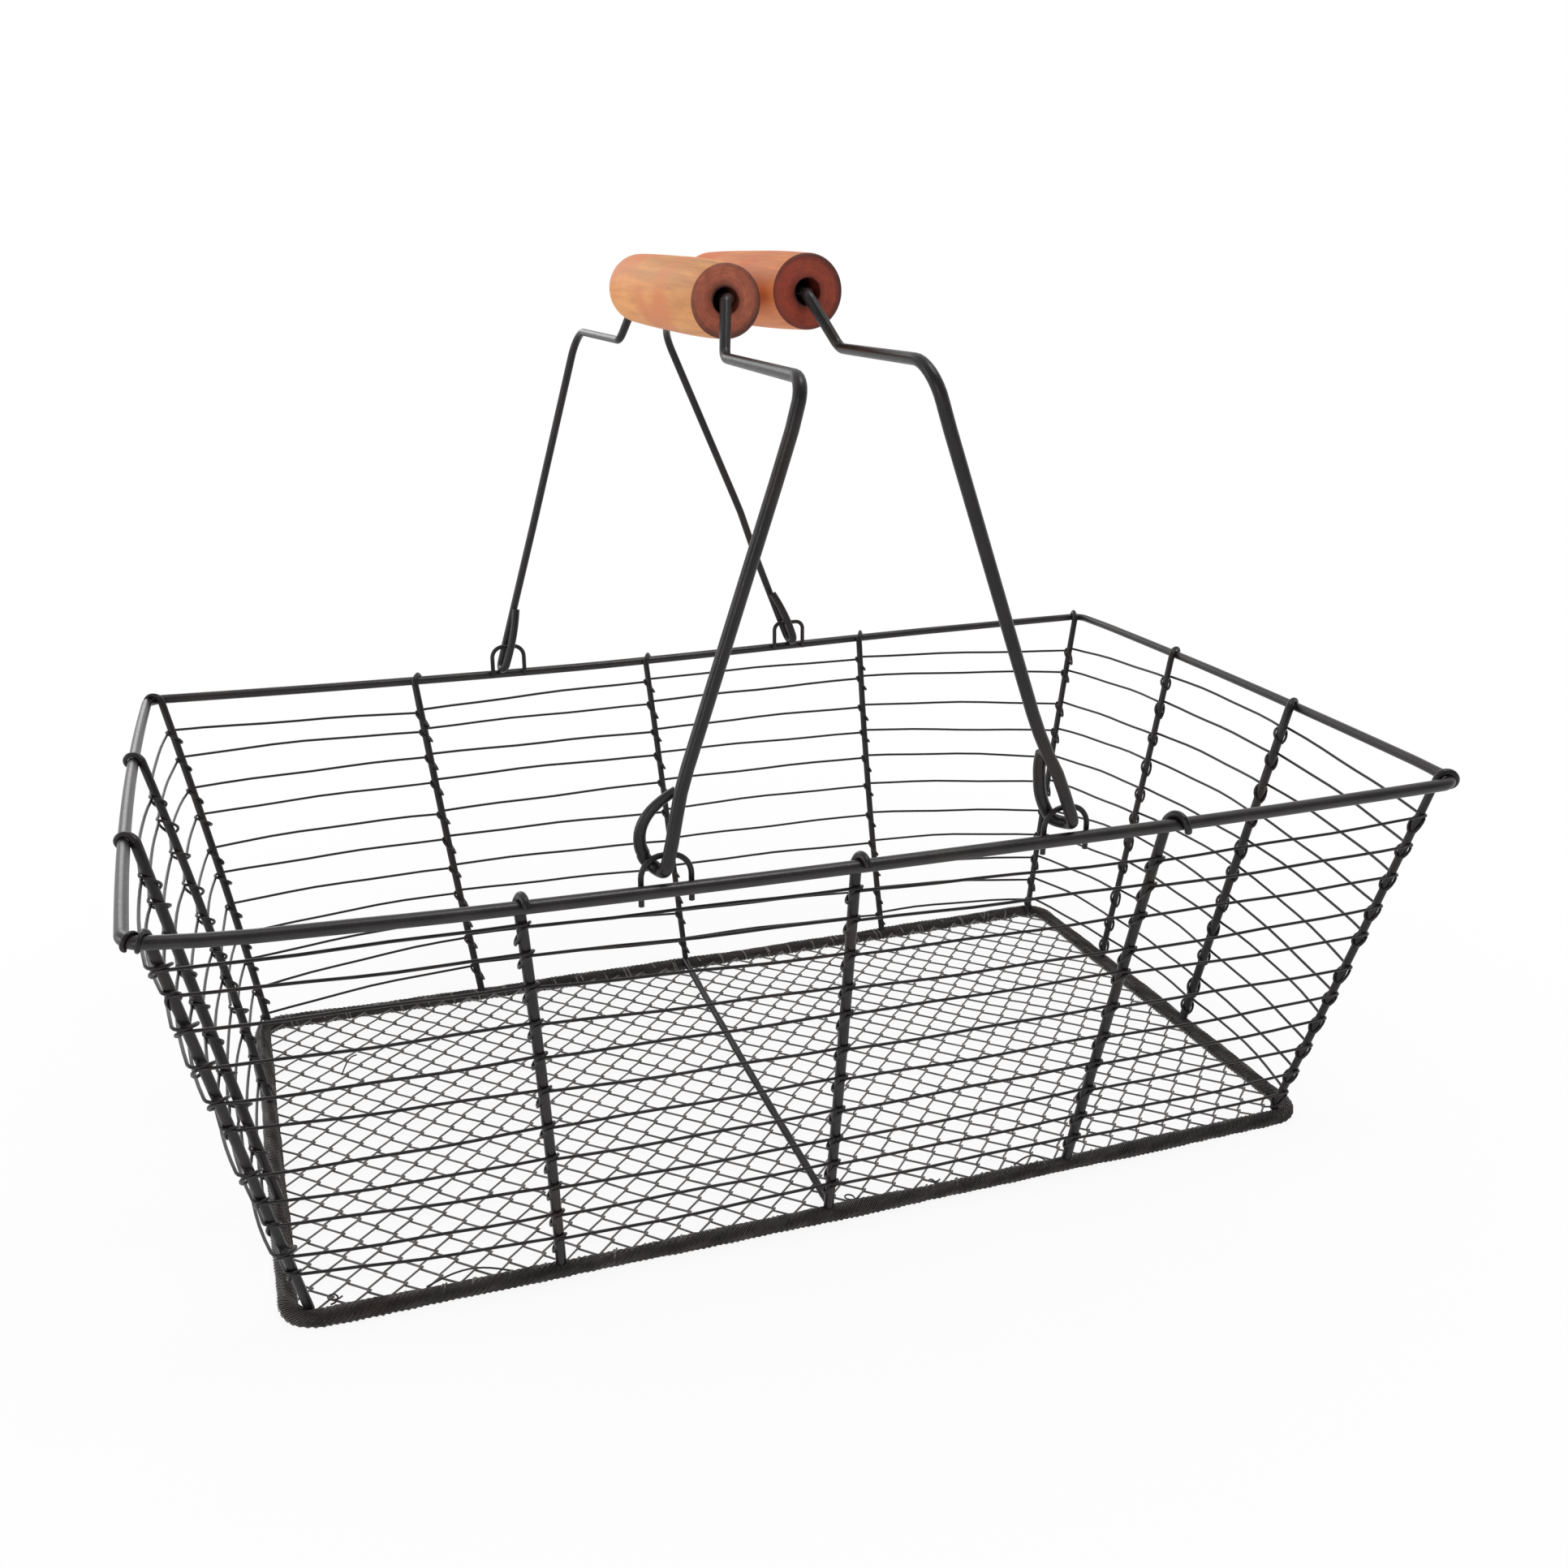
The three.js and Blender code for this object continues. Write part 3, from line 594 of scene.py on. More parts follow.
# Height of each hoop over the base wire at every rib, in winding order, the top hoop first.
HOOP_HEIGHTS = {
    "corner_rib_front_left": (128.9, 120.2, 109.5, 97.1, 84.8, 74.2, 58.3, 47.2, 38.1, 27.1, 18.4),
    "rib_front_left": (126.4, 117.0, 106.4, 93.8, 82.2, 70.2, 56.8, 44.9, 33.8, 23.0, 13.6),
    "rib_front_middle": (123.2, 113.0, 101.0, 89.1, 79.6, 66.6, 55.3, 42.9, 31.4, 21.6, 13.2),
    "rib_front_right": (118.8, 109.6, 98.7, 86.1, 77.6, 64.6, 53.0, 42.2, 31.9, 20.8, 11.8),
    "corner_rib_front_right": (120.0, 109.0, 97.6, 85.6, 74.6, 61.3, 50.4, 40.4, 29.0, 18.0, 9.0),
    "rib_right_front": (126.2, 115.7, 103.2, 91.3, 79.8, 68.6, 56.4, 45.0, 32.2, 19.5, 10.2),
    "rib_right_back": (125.9, 115.1, 101.4, 90.0, 77.6, 66.5, 56.8, 45.0, 31.9, 19.6, 9.8),
    "corner_rib_back_right": (121.3, 111.4, 97.0, 84.8, 72.4, 61.2, 47.8, 36.6, 26.0, 15.6, 6.4),
    "rib_back_right": (125.5, 117.0, 104.2, 92.9, 81.5, 68.8, 55.5, 42.6, 31.8, 20.7, 9.0),
    "rib_back_middle": (123.9, 114.4, 102.5, 92.5, 80.7, 67.8, 55.1, 43.2, 33.6, 22.9, 10.5),
    "rib_back_left": (119.6, 111.8, 101.4, 90.8, 77.7, 67.1, 54.9, 44.1, 34.4, 24.9, 12.6),
    "corner_rib_back_left": (120.8, 110.2, 97.9, 87.3, 73.7, 63.6, 50.8, 38.0, 27.8, 15.4, 4.6),
    "rib_left_back": (122.0, 114.0, 102.0, 90.0, 77.5, 64.0, 53.0, 41.5, 31.0, 21.0, 11.0),
    "rib_left_front": (125.5, 117.0, 105.5, 93.5, 81.0, 69.0, 55.5, 44.0, 34.0, 24.0, 14.5),
}
WINDING_ORDER = list(HOOP_HEIGHTS)
# From each rib to the next: which way is out, and how far the hoops stand out in between.
BAYS = (
    ((0, -1), 1.2), ((0, -1), 0.8), ((0, -1), 0.8), ((0, -1), 1.2),
    ((1, 0), 2.6), ((1, 0), 2.6), ((1, 0), 2.6),
    ((0, 1), 3.4), ((0, 1), 1.7), ((0, 1), 1.7), ((0, 1), 3.4),
    ((-1, 0), 1.8), ((-1, 0), 1.5), ((-1, 0), 2.0),
)


def rib_at(node, height):
    foot, top, thickness = rib_lines[node]
    share = (height - foot.z) / (top.z - foot.z)
    return foot.lerp(top, share) + bent_by(node, share)


def ease(share):
    share = max(0.0, min(1.0, share))
    return share * share * (3 - 2 * share)


def hoop_turn(node, height, before, after, drop):
    """One turn of the hoop round a rib: flat across it, down behind it, and up across it again."""
    centre = rib_at(node, height)
    foot, top, thickness = rib_lines[node]
    axis = (top - foot).normalized()
    travel = after - before
    travel = (travel - axis * travel.dot(axis)).normalized()
    outward = travel.cross(axis)
    loose = LOOSE_TURNS.get(node, SNUG_TURN) * (0.5 + 0.5 * math.sin(2.6 * height)) ** 2
    reach = (thickness + HOOP_WIRE) / 2 + loose
    points = []
    for i in range(TURN_STEPS + 1):
        share = i / TURN_STEPS
        angle = TURN_START + TURN_SWEEP * share
        fallen = ease((angle - TURN_FALL) / FALL_SWEEP)
        fall = drop * (fallen - ease((angle - TURN_CLIMB) / CLIMB_SWEEP))
        turned = math.radians(angle)
        ring = outward * math.cos(turned) + travel * math.sin(turned)
        points.append(centre + ring * reach + axis * ((0.5 - share) * HOOP_WIRE - fall))
    return points


def free_run(start, end, outward, bow, phase):
    """The hoop from one rib to the next, bowed outwards and never quite straight."""
    points = []
    for i in range(1, BAY_STEPS):
        share = i / BAY_STEPS
        wave = BAY_WAVE * math.sin(phase + 9 * share) * math.sin(math.pi * share)
        stand_out = outward * (bow * 4 * share * (1 - share))
        points.append(start.lerp(end, share) + stand_out + UP * wave)
    return points


for level in range(HOOPS):
    heights = [WALL_FOOT_Z + HOOP_HEIGHTS[node][HOOPS - 1 - level] for node in WINDING_ORDER]
    turns = []
    for i, node in enumerate(WINDING_ORDER):
        follows = (i + 1) % len(WINDING_ORDER)
        here = rib_at(node, heights[i])
        before = (here - rib_at(WINDING_ORDER[i - 1], heights[i - 1])).normalized()
        after = (rib_at(WINDING_ORDER[follows], heights[follows]) - here).normalized()
        drop = TURN_DROP + TURN_DROP_VARIES * math.sin(2.1 * i + 3.7 * level)
        turns.append(hoop_turn(node, heights[i], here - before, here + after, drop))
    points = []
    for i, ((out_x, out_y), bow) in enumerate(BAYS):
        start, end = turns[i][-1], turns[(i + 1) % len(turns)][0]
        uneven = BAY_BOW + BAY_BOW_VARIES * math.sin(1.9 * i + 2.3 * level)
        points += turns[i]
        points += free_run(start, end, Vector((out_x, out_y, 0)), bow * uneven, i + 2.7 * level)
    fit_wire(f"hoop_{level + 1:02d}", points, HOOP_WIRE, sides=8, closed=True)

# Floor netting. Thin wire woven as linked zigzags, each hooked into the next, so the openings
# are diamonds. The ends are wrapped round the base wire.

NET_WIRE = 0.74
NET_CELL_X = 10.8
NET_CELL_Y = 13.0
NET_HALF_X = 174.6
NET_HALF_Y = 96.1
NET_Z = 2.3
NET_SAG = 0.25
NET_DRIFT_AT_EDGE = 0.3
# A link from one strand to the next: distance to the back, share of the hook, share of the rise.
NET_HOOK = 0.42
NET_LAYER = 0.39
NET_LINK = ((-0.55, 0.3, 1), (-0.2, 0.9, 0.7), (0, 1.1, 0), (0.2, 0.9, -0.7), (0.55, 0.3, -1))
FLOOR_GAP = 0.02
# The ends start round the base wire at that angle and slant right, the last ones left.
WRAP_STEPS = 9
WRAP_START = 0.4
WRAP_CREEP = 5.5
WRAP_CREEPS_BACK = 150
WRAP_GAP, WRAP_GAP_VARIES = 0.3, 0.15
WRAP_TURNS, WRAP_TURNS_VARY = 1.1, 0.3

net_coat = coated_steel("net_coat", (0.12, 0.11, 0.107), 0.2, 1.6, COAT_GLOSS)


def net_sag(x, y):
    return NET_SAG * math.sin(0.031 * x + 0.9) * math.sin(0.043 * y + 0.4)


def net_drift(x, y):
    return Vector((
        0.5 * math.sin(0.05 * y + 0.021 * x) + 0.25 * math.sin(0.13 * y + 1.1 * x),
        0.6 * math.sin(0.037 * x + 0.02 * y) + 0.25 * math.sin(0.11 * x + 0.9 * y),
        0,
    ))


def wrap_end(x, sign, turns, radius):
    """The end of a netting wire, wound round the base wire on a long side."""
    points = []
    steps = int(turns * WRAP_STEPS)
    creep = WRAP_CREEP if x < WRAP_CREEPS_BACK else -WRAP_CREEP
    for i in range(1, steps + 1):
        share = i / steps
        angle = WRAP_START - 2 * math.pi * turns * share
        points.append(on_bowed_base(Vector((
            x + creep * share,
            sign * (base_edge(x + creep * share) - math.cos(angle) * radius),
            max(BASE_Z + math.sin(angle) * radius, NET_WIRE / 2 + FLOOR_GAP),
        ))))
    return points


net_runs = []
columns = round(2 * NET_HALF_X / (NET_CELL_X / 2))
pitch_x = 2 * NET_HALF_X / columns
rows = round(2 * NET_HALF_Y / (NET_CELL_Y / 2))
pitch_y = 2 * NET_HALF_Y / rows
for column in range(columns):
    middle = -NET_HALF_X + (column + 0.5) * pitch_x
    run = []
    for row in range(rows + 1):
        y = -NET_HALF_Y + row * pitch_y
        side = 1 if (row + column) % 2 == 0 else -1
        knot = Vector((middle + side * pitch_x / 2, y, NET_Z))
        knot += net_drift(knot.x, knot.y) * (1 if 0 < row < rows else NET_DRIFT_AT_EDGE)
        rise = side * NET_LAYER
        for step_y, out, up in NET_LINK:
            if (row == 0 and step_y < 0) or (row == rows and step_y > 0):
                continue
            sag = net_sag(knot.x, knot.y)
            place = knot + Vector((side * NET_HOOK * out, step_y, rise * up + sag))
            edge = base_edge(place.x) - BASE_WIRE / 2
            place.y = max(-edge, min(edge, place.y))
            run.append(on_bowed_base(place))
    turns = WRAP_TURNS + WRAP_TURNS_VARY * math.sin(1.7 * column)
    radius = (BASE_WIRE + NET_WIRE) / 2 + WRAP_GAP + WRAP_GAP_VARIES * math.sin(2.3 * column)
    front_end = wrap_end(run[0].x, -1, turns, radius)
    net_runs.append(front_end[::-1] + run + wrap_end(run[-1].x, 1, turns, radius))
netting = draw_wires("floor_netting", net_runs, NET_WIRE, 6, net_coat)
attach(netting, "basket")
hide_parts("floor_net")

# Hem. The netting's edge is bound to the base wire all the way round by many thin strands that
# are wound both ways, so the base looks like a rough rope.

HEM_WIRE = 0.6
# Turns round the base wire and number of strands, of the inner layer and of the outer one.
HEM_LAYERS = ((80, 6), (-64, 20))
HEM_STEPS = 9
HEM_OUT = 0.55
HEM_BEDDING = 0.4
HEM_BULK = 0.16
HEM_STRAY = 0.12
HEM_ON_SHORT_SIDES = 0.35
BASE_ARC = BASE_CORNER * math.pi / 2
BASE_STRAIGHTS = (BASE_LENGTH - 2 * BASE_CORNER, BASE_WIDTH - 2 * BASE_CORNER) * 2
BASE_ROUND = sum(BASE_STRAIGHTS) + 4 * BASE_ARC


def along_base(distance):
    """Place on the base wire's centre line and the level direction inwards, from the distance."""
    start = Vector((BASE_CORNER - BASE_LENGTH / 2, -BASE_WIDTH / 2, BASE_Z))
    heading = 0.0
    for length in BASE_STRAIGHTS:
        direction = Vector((math.cos(heading), math.sin(heading), 0))
        inward = Vector((-direction.y, direction.x, 0))
        if distance <= length:
            return start + direction * distance, inward
        distance -= length
        start = start + direction * length
        if distance <= BASE_ARC:
            turned = heading + distance / BASE_CORNER
            centre = start + inward * BASE_CORNER
            inward = Vector((-math.sin(turned), math.cos(turned), 0))
            return centre - inward * BASE_CORNER, inward
        distance -= BASE_ARC
        start = start + (direction + inward) * BASE_CORNER
        heading += math.pi / 2


def hem_strand(turns, layer, phase):
    points = []
    steps = abs(turns) * HEM_STEPS
    for i in range(steps):
        travelled = i / steps * BASE_ROUND
        centre, inward = along_base(travelled)
        angle = 2 * math.pi * turns * i / steps + phase
        bulk = math.sin(0.043 * travelled + 1.3) + math.sin(0.117 * travelled + 0.4)
        stray = math.sin(0.13 * travelled + 5 * phase) * math.sin(0.19 * travelled + 3 * phase)
        reach = BASE_WIRE / 2 + HEM_WIRE * (layer + HEM_BEDDING)
        reach += HEM_BULK * bulk + HEM_STRAY * stray + HEM_ON_SHORT_SIDES * abs(inward.x)
        place = centre + inward * (reach * math.cos(angle) - HEM_OUT)
        place.z = max(place.z + reach * math.sin(angle), HEM_WIRE / 2 + FLOOR_GAP)
        points.append(on_bowed_base(place))
    return points


hem_strands = []
for layer, (turns, strands) in enumerate(HEM_LAYERS):
    for i in range(strands):
        hem_strands.append(hem_strand(turns, layer, 2 * math.pi * i / strands + layer))
hem_coat = coated_steel("hem_coat", (0.03, 0.0245, 0.0235), 0.5, 1.6, COAT_GLOSS)
hem = draw_wires("base_hem", hem_strands, HEM_WIRE, 5, hem_coat, closed=True)
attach(hem, "basket")

# Loose ends. A few strands of the hem have come loose and stand up in low arches and small
# eyelets, most of them along the front.

ARCH_STEPS = 12
EYELET_STEPS = 14
EYELET_SWEEP = 2.3 * math.pi
EYELET_Z = 3
# How far an eyelet is drawn out to the right and upwards from step to step.
EYELET_SLIDE, EYELET_CLIMB = 0.15, 0.12


def loose_arch(start, end, rise):
    return [
        Vector(start).lerp(Vector(end), i / ARCH_STEPS)
        + UP * rise * math.sin(math.pi * i / ARCH_STEPS)
        for i in range(ARCH_STEPS + 1)
    ]


def loose_eyelet(x, y, radius):
    points = []
    for i in range(EYELET_STEPS + 1):
        angle = EYELET_SWEEP * i / EYELET_STEPS - math.pi / 2
        points.append(Vector((
            x + radius * math.cos(angle) + EYELET_SLIDE * i,
            y + radius * math.sin(angle),
            EYELET_Z + EYELET_CLIMB * i,
        )))
    return points


loose_strands = [
    loose_arch((-137, -95.6, 3.4), (-111, -95.9, 3.2), 3.6),
    loose_arch((-150, 46, 2.4), (-143.5, 55, 5.2), 2.2),
    loose_arch((62, -95.4, 3.4), (74, -95.6, 3.2), 2.6),
    loose_eyelet(-165, -92.4, 1.9),
    loose_eyelet(0.5, -94.9, 2.1),
    loose_eyelet(30.3, -95.3, 1.4),
]
loose_strands = [[on_bowed_base(point) for point in strand] for strand in loose_strands]
loose = draw_wires("hem_loose_ends", loose_strands, HEM_WIRE, 6, hem_coat)
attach(loose, "basket")

# Floor cross wire. It runs under no load from the foot of the middle front rib to the foot of
# the middle back rib. It lies low among the netting; its weaker gloss is painted shade.

CROSS_FRONT = Vector((-6.5, -95.6, 4.3))
CROSS_BACK = Vector((0.9, 95.6, 4.3))
CROSS_DIP = Vector((-0.4, 0, -0.4))
CROSS_STEPS = 48
CROSS_COAT, CROSS_COAT_VARIES = 1.1, 0.1
# A weaker gloss than the frame's coat: painted shade that dims the wire's reflections.
SHADED_CROSS_GLOSS = 1.23

cross_points, cross_swell = [], []
for i in range(CROSS_STEPS + 1):
    share = i / CROSS_STEPS
    dip = CROSS_DIP * math.sin(math.pi * share)
    cross_points.append(CROSS_FRONT.lerp(CROSS_BACK, share) + dip)
    lumps = math.sin(1.9 * i) * math.sin(0.7 * i + 1)
    cross_swell.append(CROSS_COAT + CROSS_COAT_VARIES * lumps)
fit_wire(
    "floor_cross_wire", cross_points, RIB_WIRE, sides=14, swell=cross_swell,
    finish=coated_steel("shaded_cross_coat", FRAME_TONE, 0.5, 1.0, SHADED_CROSS_GLOSS),
)

# Staples. Four small arches of thinner wire, welded to the inside of the rim's long sides. The
# hooks of the bails hang in them.

LEFT_BAIL_X, RIGHT_BAIL_X = -68, 59.5
STAPLE_WIRE = 1.7
STAPLE_OFFSET = 2.75
# Bail, place beside it, width, height over the rim, depth of the feet and bend of each staple.
STAPLES = {
    "front_left": (LEFT_BAIL_X, 2.5, 14.5, 9.4, 5, 6.3),
    "front_right": (RIGHT_BAIL_X, 0, 14.5, 9.3, 5, 6.3),
    "back_left": (LEFT_BAIL_X, 2.7, 13, 12.1, 0.6, 4.5),
    "back_right": (RIGHT_BAIL_X, -1.8, 13, 11.1, 0.6, 3.2),
}


def bend_round(before, corner, after, radius, steps=8):
    """A bend of that radius at a corner, as points from one tangent point to the other."""
    back = (before - corner).normalized()
    forward = (after - corner).normalized()
    half = back.angle(forward) / 2
    centre = corner + (back + forward).normalized() * (radius / math.sin(half))
    start = corner + back * (radius / math.tan(half)) - centre
    axis = back.cross(forward).normalized()
    sweep = math.pi - 2 * half
    return [
        Matrix.Rotation(-sweep * i / steps, 3, axis) @ start + centre for i in range(steps + 1)
    ]


for name, (bail_x, shift, width, height, foot, bend) in STAPLES.items():
    sign = -1 if name.startswith("front") else 1
    rim = on_twisted_rim(rim_on_long_side(sign, bail_x))
    y = rim.y - sign * STAPLE_OFFSET
    middle = bail_x + shift
    foot_left, top_left, top_right, foot_right = (
        Vector((middle + side * width / 2, y, rim.z + level))
        for side, level in ((-1, -foot), (-1, height), (1, height), (1, -foot))
    )
    points = [foot_left, *bend_round(foot_left, top_left, top_right, bend)]
    points += [*bend_round(top_left, top_right, foot_right, bend), foot_right]
    fit_wire(f"staple_{name}", points, STAPLE_WIRE)

# Bails. Each is one thick wire: a long closed hook at each end, a shoulder, a step inwards and
# a riser to the grip. The hooks hang in the staples, so the bail swings about them.

BAIL_WIRE = 3.85
BAIL_HALF_WIDTH = 122.9
HOOK_OFFSET = 3.25
HOOK_INSET = 2.95
HOOK_LENGTH = 24
HOOK_GAP = 0.4
BAIL_HOOK_STEPS = 14
LEG_STEPS = 18
BAIL_STEP_HALF = 59.5
STEP_BEND = 5
GRIP_BEND = 3.4
GRIP_LENGTH = 95
# The bends of a bail begin that far inside the ends of its grip, and are full that far on.
BENDS_BEGIN, BENDS_GROW = 1.2, 3.5
# Thickness of the bail's wire as a share: less towards the back, and least along the step, by
# distance from the middle.
BAIL_COAT, BAIL_COAT_FALLS = 0.885, 0.115
STEP_THIN = ((48, 1), (62, 0.86), (108, 0.86), (122, 1))
STEP_THIN_ABOVE = 100
# The two aren't alike. Of each end: bend of the shoulder, how far the hook splays, bulges and
# hangs down, where the step and the grip's corner lie, and how far the leg stands off sideways,
# by height over the hook.
BAILS = {
    "left": {
        "pivot": Vector((LEFT_BAIL_X, 0, 138.332)), "lean": math.radians(16.85),
        "step": 137, "grip": 155.5, "twist": 1.65, "tip": 0.72,
        "front": {
            "shoulder": 6, "splay": 5.4, "bulge": 3.4, "drop": -1.0,
            "step_up": 1.75, "step_dip": 0.75, "corner_out": 1.6,
            "bends": (
                (0, 1.2), (8, 0.7), (16, -0.3), (27, -1.5), (45, -1.15), (75, -0.65), (112, 0),
                (128, 0.1), (138, -0.9), (156, -2.1),
            ),
        },
        "back": {
            "shoulder": 9, "splay": 0.9, "bulge": 0.3, "drop": 1.8,
            "step_up": 0, "step_dip": 0, "corner_out": 3.2,
            "bends": ((0, 0.1), (60, 0.1), (128, -0.45), (150, 0), (160, 0)),
        },
    },
    "right": {
        "pivot": Vector((RIGHT_BAIL_X, 0, 138.258)), "lean": math.radians(-20.974),
        "step": 143.5, "grip": 160.8, "twist": 1.45, "tip": 1.0,
        "front": {
            "shoulder": 11, "splay": 4.0, "bulge": 1.4, "drop": 1.1,
            "step_up": 1.0, "step_dip": 0, "corner_out": 2.2,
            "bends": (
                (0, 0.9), (16, 0.7), (28, -1.2), (38, -1.6), (75, -1.4), (130, -1.1),
                (144, -0.4), (161, -1.3),
            ),
        },
        "back": {
            "shoulder": 11, "splay": 1.2, "bulge": 0.3, "drop": -0.4,
            "step_up": 1.2, "step_dip": 0, "corner_out": 3.2,
            "bends": ((0, -0.9), (38, -0.9), (62, 0), (140, -2.6), (150, -2.6), (160, -0.5)),
        },
    },
}


def cubic(a, b, c, d, steps):
    """Points on a smooth curve from a almost to d, drawn towards b and c."""
    points = []
    for i in range(steps):
        t = i / steps
        s = 1 - t
        points.append(a * s ** 3 + b * 3 * s * s * t + c * 3 * s * t * t + d * t ** 3)
    return points


def hook_points(staple_y, splay, bulge, low):
    """From the tip of the hook to the foot of the leg, on the back side of an upright bail."""
    leg_y = staple_y + HOOK_OFFSET
    inner_y = staple_y - HOOK_OFFSET
    points = cubic(
        Vector((0, leg_y - BAIL_WIRE - HOOK_GAP, HOOK_LENGTH)),
        Vector((splay + bulge, inner_y, HOOK_LENGTH / 2 + HOOK_OFFSET)),
        Vector((splay + bulge, inner_y, HOOK_LENGTH / 3)),
        Vector((splay, inner_y, low)),
        BAIL_HOOK_STEPS,
    )
    for i in range(BAIL_HOOK_STEPS + 1):
        angle = math.pi * (1 - i / BAIL_HOOK_STEPS)
        points.append(Vector((
            splay * ((1 - math.cos(angle)) / 2) ** 3,
            staple_y + HOOK_OFFSET * math.cos(angle),
            low - HOOK_OFFSET * math.sin(angle),
        )))
    return points


def half_bail(bail, end):
    """From the tip of the hook to the grip, on the back side of an upright bail."""
    staple_y = rim_on_long_side(1, bail["pivot"].x).y - HOOK_INSET
    leg_y, step_z = staple_y + HOOK_OFFSET, bail["step"] + end["step_up"]
    foot = Vector((0, leg_y, HOOK_OFFSET))
    shoulder = Vector((0, leg_y, step_z - end["step_dip"]))
    step = Vector((0, BAIL_STEP_HALF, step_z))
    grip_corner = Vector((0, GRIP_LENGTH / 2 + end["corner_out"], bail["grip"]))
    middle = Vector((0, 0, bail["grip"]))
    hook = hook_points(staple_y, end["splay"], end["bulge"], HOOK_OFFSET - end["drop"])
    leg_top = bend_round(foot, shoulder, step, end["shoulder"])
    leg = [foot.lerp(leg_top[0], i / LEG_STEPS) for i in range(1, LEG_STEPS)]
    step_bend = bend_round(shoulder, step, grip_corner, STEP_BEND)
    return hook + leg + leg_top + step_bend + bend_round(step, grip_corner, middle, GRIP_BEND)


def stand_bail(bail, point):
    """Twists a point of the upright bail as the real one is twisted, and leans it."""
    twisted = point.copy()
    twisted.x -= bail["twist"] * (point.y / BAIL_HALF_WIDTH) * max(0.0, point.z) / bail["step"]
    bends = bail["front" if point.y < 0 else "back"]["bends"]
    past_grip = (abs(point.y) - GRIP_LENGTH / 2 + BENDS_BEGIN) / BENDS_GROW
    twisted.x += max(0.0, min(1.0, past_grip)) * read_off(bends, point.z)
    return bail["pivot"] + Matrix.Rotation(bail["lean"], 3, "Y") @ twisted


for name, bail in BAILS.items():
    front, back = (half_bail(bail, bail[end]) for end in ("front", "back"))
    upright = back + [Vector((-p.x, -p.y, p.z)) for p in reversed(front)]
    swell = []
    for p in upright:
        thin = read_off(STEP_THIN, abs(p.y)) if p.z > STEP_THIN_ABOVE else 1
        swell.append((BAIL_COAT - BAIL_COAT_FALLS * p.y / BAIL_HALF_WIDTH) * thin)
    for i in range(BAIL_HOOK_STEPS):
        swell[-1 - i] *= bail["tip"] + (1 - bail["tip"]) * i / BAIL_HOOK_STEPS
    points = [stand_bail(bail, p) for p in upright]
    fit_wire(f"bail_{name}", points, BAIL_WIRE, sides=18, body=f"bail_{name}", swell=swell)

# Grips. Turned from one piece of light wood, bored through from end to end and threaded on the
# bail before it was bent. The barrel is varnished, and the bare end grain has gone dark red.

GRIP_SIDES = 56
GRIP_SMOOTH_ANGLE = math.radians(40)
# A grip lies that far behind the middle of its bail.
GRIP_SLIDE = 1.2
# Thickness at the front, in the middle and at the back.
GRIP_SHAPES = {"left": (21.8, 23.5, 22.9), "right": (22.2, 23.5, 22.8)}
# Rounding of the front and the back edge.
GRIP_EDGES = (1.0, 2.6)
EDGE_STEPS = 6
BARREL_STEPS = 8
BARREL_END = 2.2
# How far each end of a grip lies off the wire, sideways and upwards, at the front and the back.
GRIP_ASKEW = {"left": ((-0.7, -0.55), (-0.65, 0.45)), "right": ((0.4, 0.4), (0.4, 0.4))}
GRIP_BORE = 8.3
GRIP_MOUTH = 8.7
# The mouth flares by that much to either side of its mean radius, over that depth. The bore
# proper begins deeper.
MOUTH_FLARE, MOUTH_DEPTH, BORE_DEPTH = 0.3, 0.5, 3
# Width of the flat ring of faces inside a rounded edge.
END_RING = 2
# Faces are bare end grain where they look along the axis. Faces near it line the bore, and
# take the end grain's painted shade there.
FACES_ALONG = 0.3
PAINTED_BORE_SHADE_REACH = 0.6 * GRIP_MOUTH
# Tones of the varnished barrel, of its red patches and of the end grain.
GRIP_TONES = {
    "left": ((0.80, 0.355, 0.118), (0.68, 0.22, 0.08), (0.38, 0.095, 0.048)),
    "right": ((0.86, 0.31, 0.11), (0.66, 0.16, 0.045), (0.28, 0.036, 0.013)),
}
# Shades of the end grain from the bore to the edge, as places and shares of its tone.
END_SHADES = ((0.42, 0.7), (0.6, 1.1), (0.84, 0.95), (0.93, 0.55))
VARNISH_GLOSS = 1.4


def lathe_profile(front, middle, back):
    """Distance along the axis and radius, from the front bore mouth round to the back one."""
    half = GRIP_LENGTH / 2
    ends = []
    for diameter, edge in zip((front, back), GRIP_EDGES):
        end = [
            (half - BORE_DEPTH, GRIP_BORE / 2),
            (half - MOUTH_DEPTH, GRIP_MOUTH / 2 - MOUTH_FLARE),
            (half, GRIP_MOUTH / 2 + MOUTH_FLARE),
            (half, diameter / 2 - edge - END_RING),
        ]
        for i in range(EDGE_STEPS + 1):
            angle = i / EDGE_STEPS * math.pi / 2
            out = half - edge + edge * math.cos(angle)
            end.append((out, diameter / 2 - edge + edge * math.sin(angle)))
        ends.append(end)
    barrel = []
    for i in range(1, 2 * BARREL_STEPS):
        travel = i / BARREL_STEPS - 1
        end_diameter = front if travel < 0 else back
        swell = (middle - end_diameter) * (1 - abs(travel) ** 3)
        barrel.append(((half - BARREL_END) * travel, (end_diameter + swell) / 2))
    return [(-out, radius) for out, radius in ends[0]] + barrel + ends[1][::-1]


def lay_mapping(tree, source, inputs):
    return lay_node(tree, "Mapping", {"Vector": source, **inputs}).outputs[0]


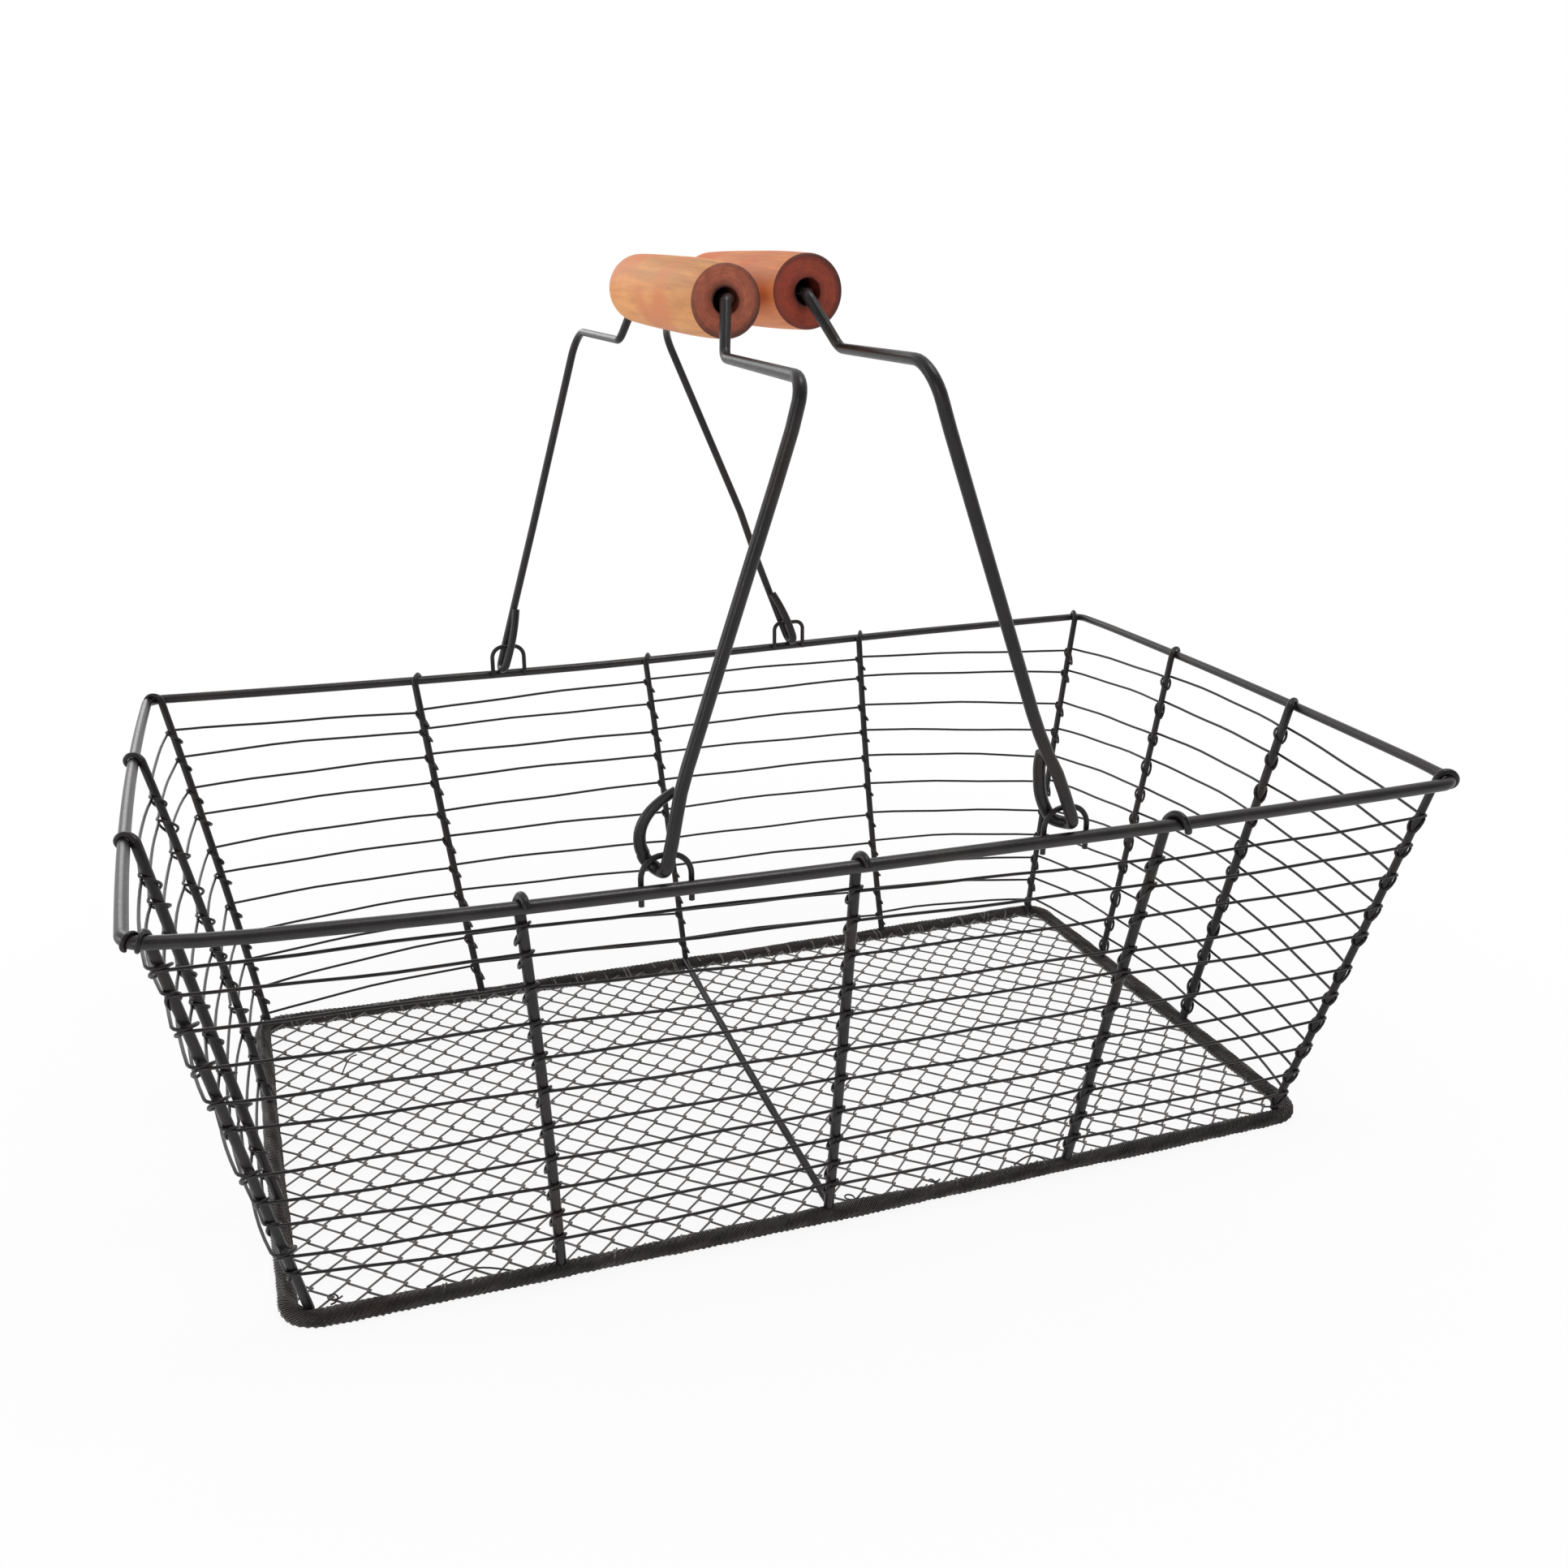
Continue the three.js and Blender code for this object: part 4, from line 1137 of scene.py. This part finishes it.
def turned_wood(name, centre, tone, blush):
    """Varnished wood: fine streaks along the grain, a broader figure and reddened patches."""
    wood, tree, where = new_material(name)
    centred = lay_mapping(tree, where, {"Location": -centre})
    stretched = lay_mapping(tree, centred, {"Scale": (1, 0.07, 1)})
    grain = lay_noise(tree, {"Vector": stretched, "Scale": 420, "Detail": 6, "Roughness": 0.65})
    figure = lay_noise(tree, {"Vector": stretched, "Scale": 75, "Detail": 3, "Distortion": 0.8})
    patches = lay_noise(tree, {"Vector": centred, "Scale": 32, "Detail": 2})
    base = lay_ramp(tree, figure, (0.3, shaded(tone, 0.64)), (0.68, shaded(tone, 1.1)))
    streaks = lay_ramp(tree, grain, (0.34, (0.8, 0.7, 0.62)), (0.56, (1, 1, 1)))
    red = lay_ramp(tree, patches, (0.45, (0, 0, 0)), (0.6, (0.9, 0.9, 0.9)))
    lined = lay_mix(tree, "MULTIPLY", 1.0, base, streaks)
    feed(tree, tree.nodes["Principled BSDF"], {
        "IOR": VARNISH_GLOSS,
        "Base Color": lay_mix(tree, "MIX", red, lined, (*blush, 1)),
        "Roughness": lay_polish(tree, grain, 0.5, 0.7),
        "Normal": lay_bumps(tree, grain, 0.2, 0.0003),
    })
    return wood


def end_grain_and_bore_shade(name, centre, radius, tone):
    """Bare end grain: rings round the middle, darker at the edge, and painted shade in the bore.
    """
    wood, tree, where = new_material(name)
    centred = lay_mapping(tree, where, {"Location": -centre, "Scale": (1, 0, 1)})
    reach = lay_node(tree, "VectorMath", {0: centred})
    reach.operation = "LENGTH"
    across = lay_node(tree, "MapRange", {"Value": reach.outputs[1], "From Max": radius * MM})
    # Its darkest stop, nearest the axis, is painted shade in the bore.
    shade = lay_ramp(
        tree, across.outputs[0], (0.34, shaded(tone, 0.12)), (1.0, shaded(tone, 0.3)),
        [(place, shaded(tone, level)) for place, level in END_SHADES],
    )
    rings = lay_node(tree, "TexWave", {
        "Vector": centred, "Scale": 260, "Distortion": 5, "Detail": 3,
    })
    rings.wave_type = "RINGS"
    rings.rings_direction = "Y"
    mottled = lay_noise(tree, {"Vector": where, "Scale": 500, "Detail": 5})
    ringed = lay_mix(tree, "MULTIPLY", 0.12, shade, rings.outputs["Color"])
    feed(tree, tree.nodes["Principled BSDF"], {
        "Base Color": lay_mix(tree, "OVERLAY", 0.5, ringed, mottled),
        "Roughness": 0.6,
        "Normal": lay_bumps(tree, mottled, 0.3, 0.0002),
    })
    return wood


for name, bail in BAILS.items():
    profile = lathe_profile(*GRIP_SHAPES[name])
    bpy.ops.object.select_all(action="DESELECT")
    bpy.ops.mesh.primitive_circle_add(
        vertices=GRIP_SIDES, radius=profile[0][1] * MM, rotation=(math.pi / 2, 0, 0),
        location=(0, profile[0][0] * MM, 0), enter_editmode=True,
    )
    for (place, radius), (next_place, next_radius) in zip(profile, profile[1:]):
        bpy.ops.mesh.extrude_edges_move(
            TRANSFORM_OT_translate={"value": (0, (next_place - place) * MM, 0)}
        )
        bpy.ops.transform.resize(
            value=(next_radius / radius, 1, next_radius / radius),
            center_override=(0, next_place * MM, 0),
        )
    bpy.ops.mesh.select_all(action="DESELECT")
    bpy.ops.mesh.select_non_manifold()
    bpy.ops.mesh.bridge_edge_loops()
    bpy.ops.mesh.select_all(action="SELECT")
    bpy.ops.mesh.normals_make_consistent(inside=False)
    bpy.ops.object.mode_set(mode="OBJECT")
    bpy.ops.object.transform_apply()
    grip = bpy.context.object
    grip.name = f"grip_{name}_turned"
    front_end, back_end = (
        stand_bail(bail, Vector((0, GRIP_SLIDE + side * GRIP_LENGTH / 2, bail["grip"])))
        + Vector((aside, 0, up))
        for side, (aside, up) in zip((-1, 1), GRIP_ASKEW[name])
    )
    centre = (front_end + back_end) / 2
    turn = Vector((0, 1, 0)).rotation_difference(back_end - front_end)
    grip.data.transform(Matrix.Translation(centre * MM) @ turn.to_matrix().to_4x4())
    barrel_tone, blush, end_tone = GRIP_TONES[name]
    grip.data.materials.append(turned_wood(f"varnished_{name}", centre * MM, barrel_tone, blush))
    end_radius = GRIP_SHAPES[name][0] / 2
    grip.data.materials.append(end_grain_and_bore_shade(f"end_grain_and_bore_shade_{name}", centre * MM, end_radius, end_tone))
    for face in grip.data.polygons:
        off_axis = math.hypot(face.center.x - centre.x * MM, face.center.z - centre.z * MM)
        bare_or_bore_shaded = abs(face.normal.y) > FACES_ALONG or off_axis < PAINTED_BORE_SHADE_REACH * MM
        face.material_index = 1 if bare_or_bore_shaded else 0
    bpy.ops.object.shade_smooth_by_angle(angle=GRIP_SMOOTH_ANGLE)
    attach(grip, f"grip_{name}")
    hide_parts(f"grip_{name}")
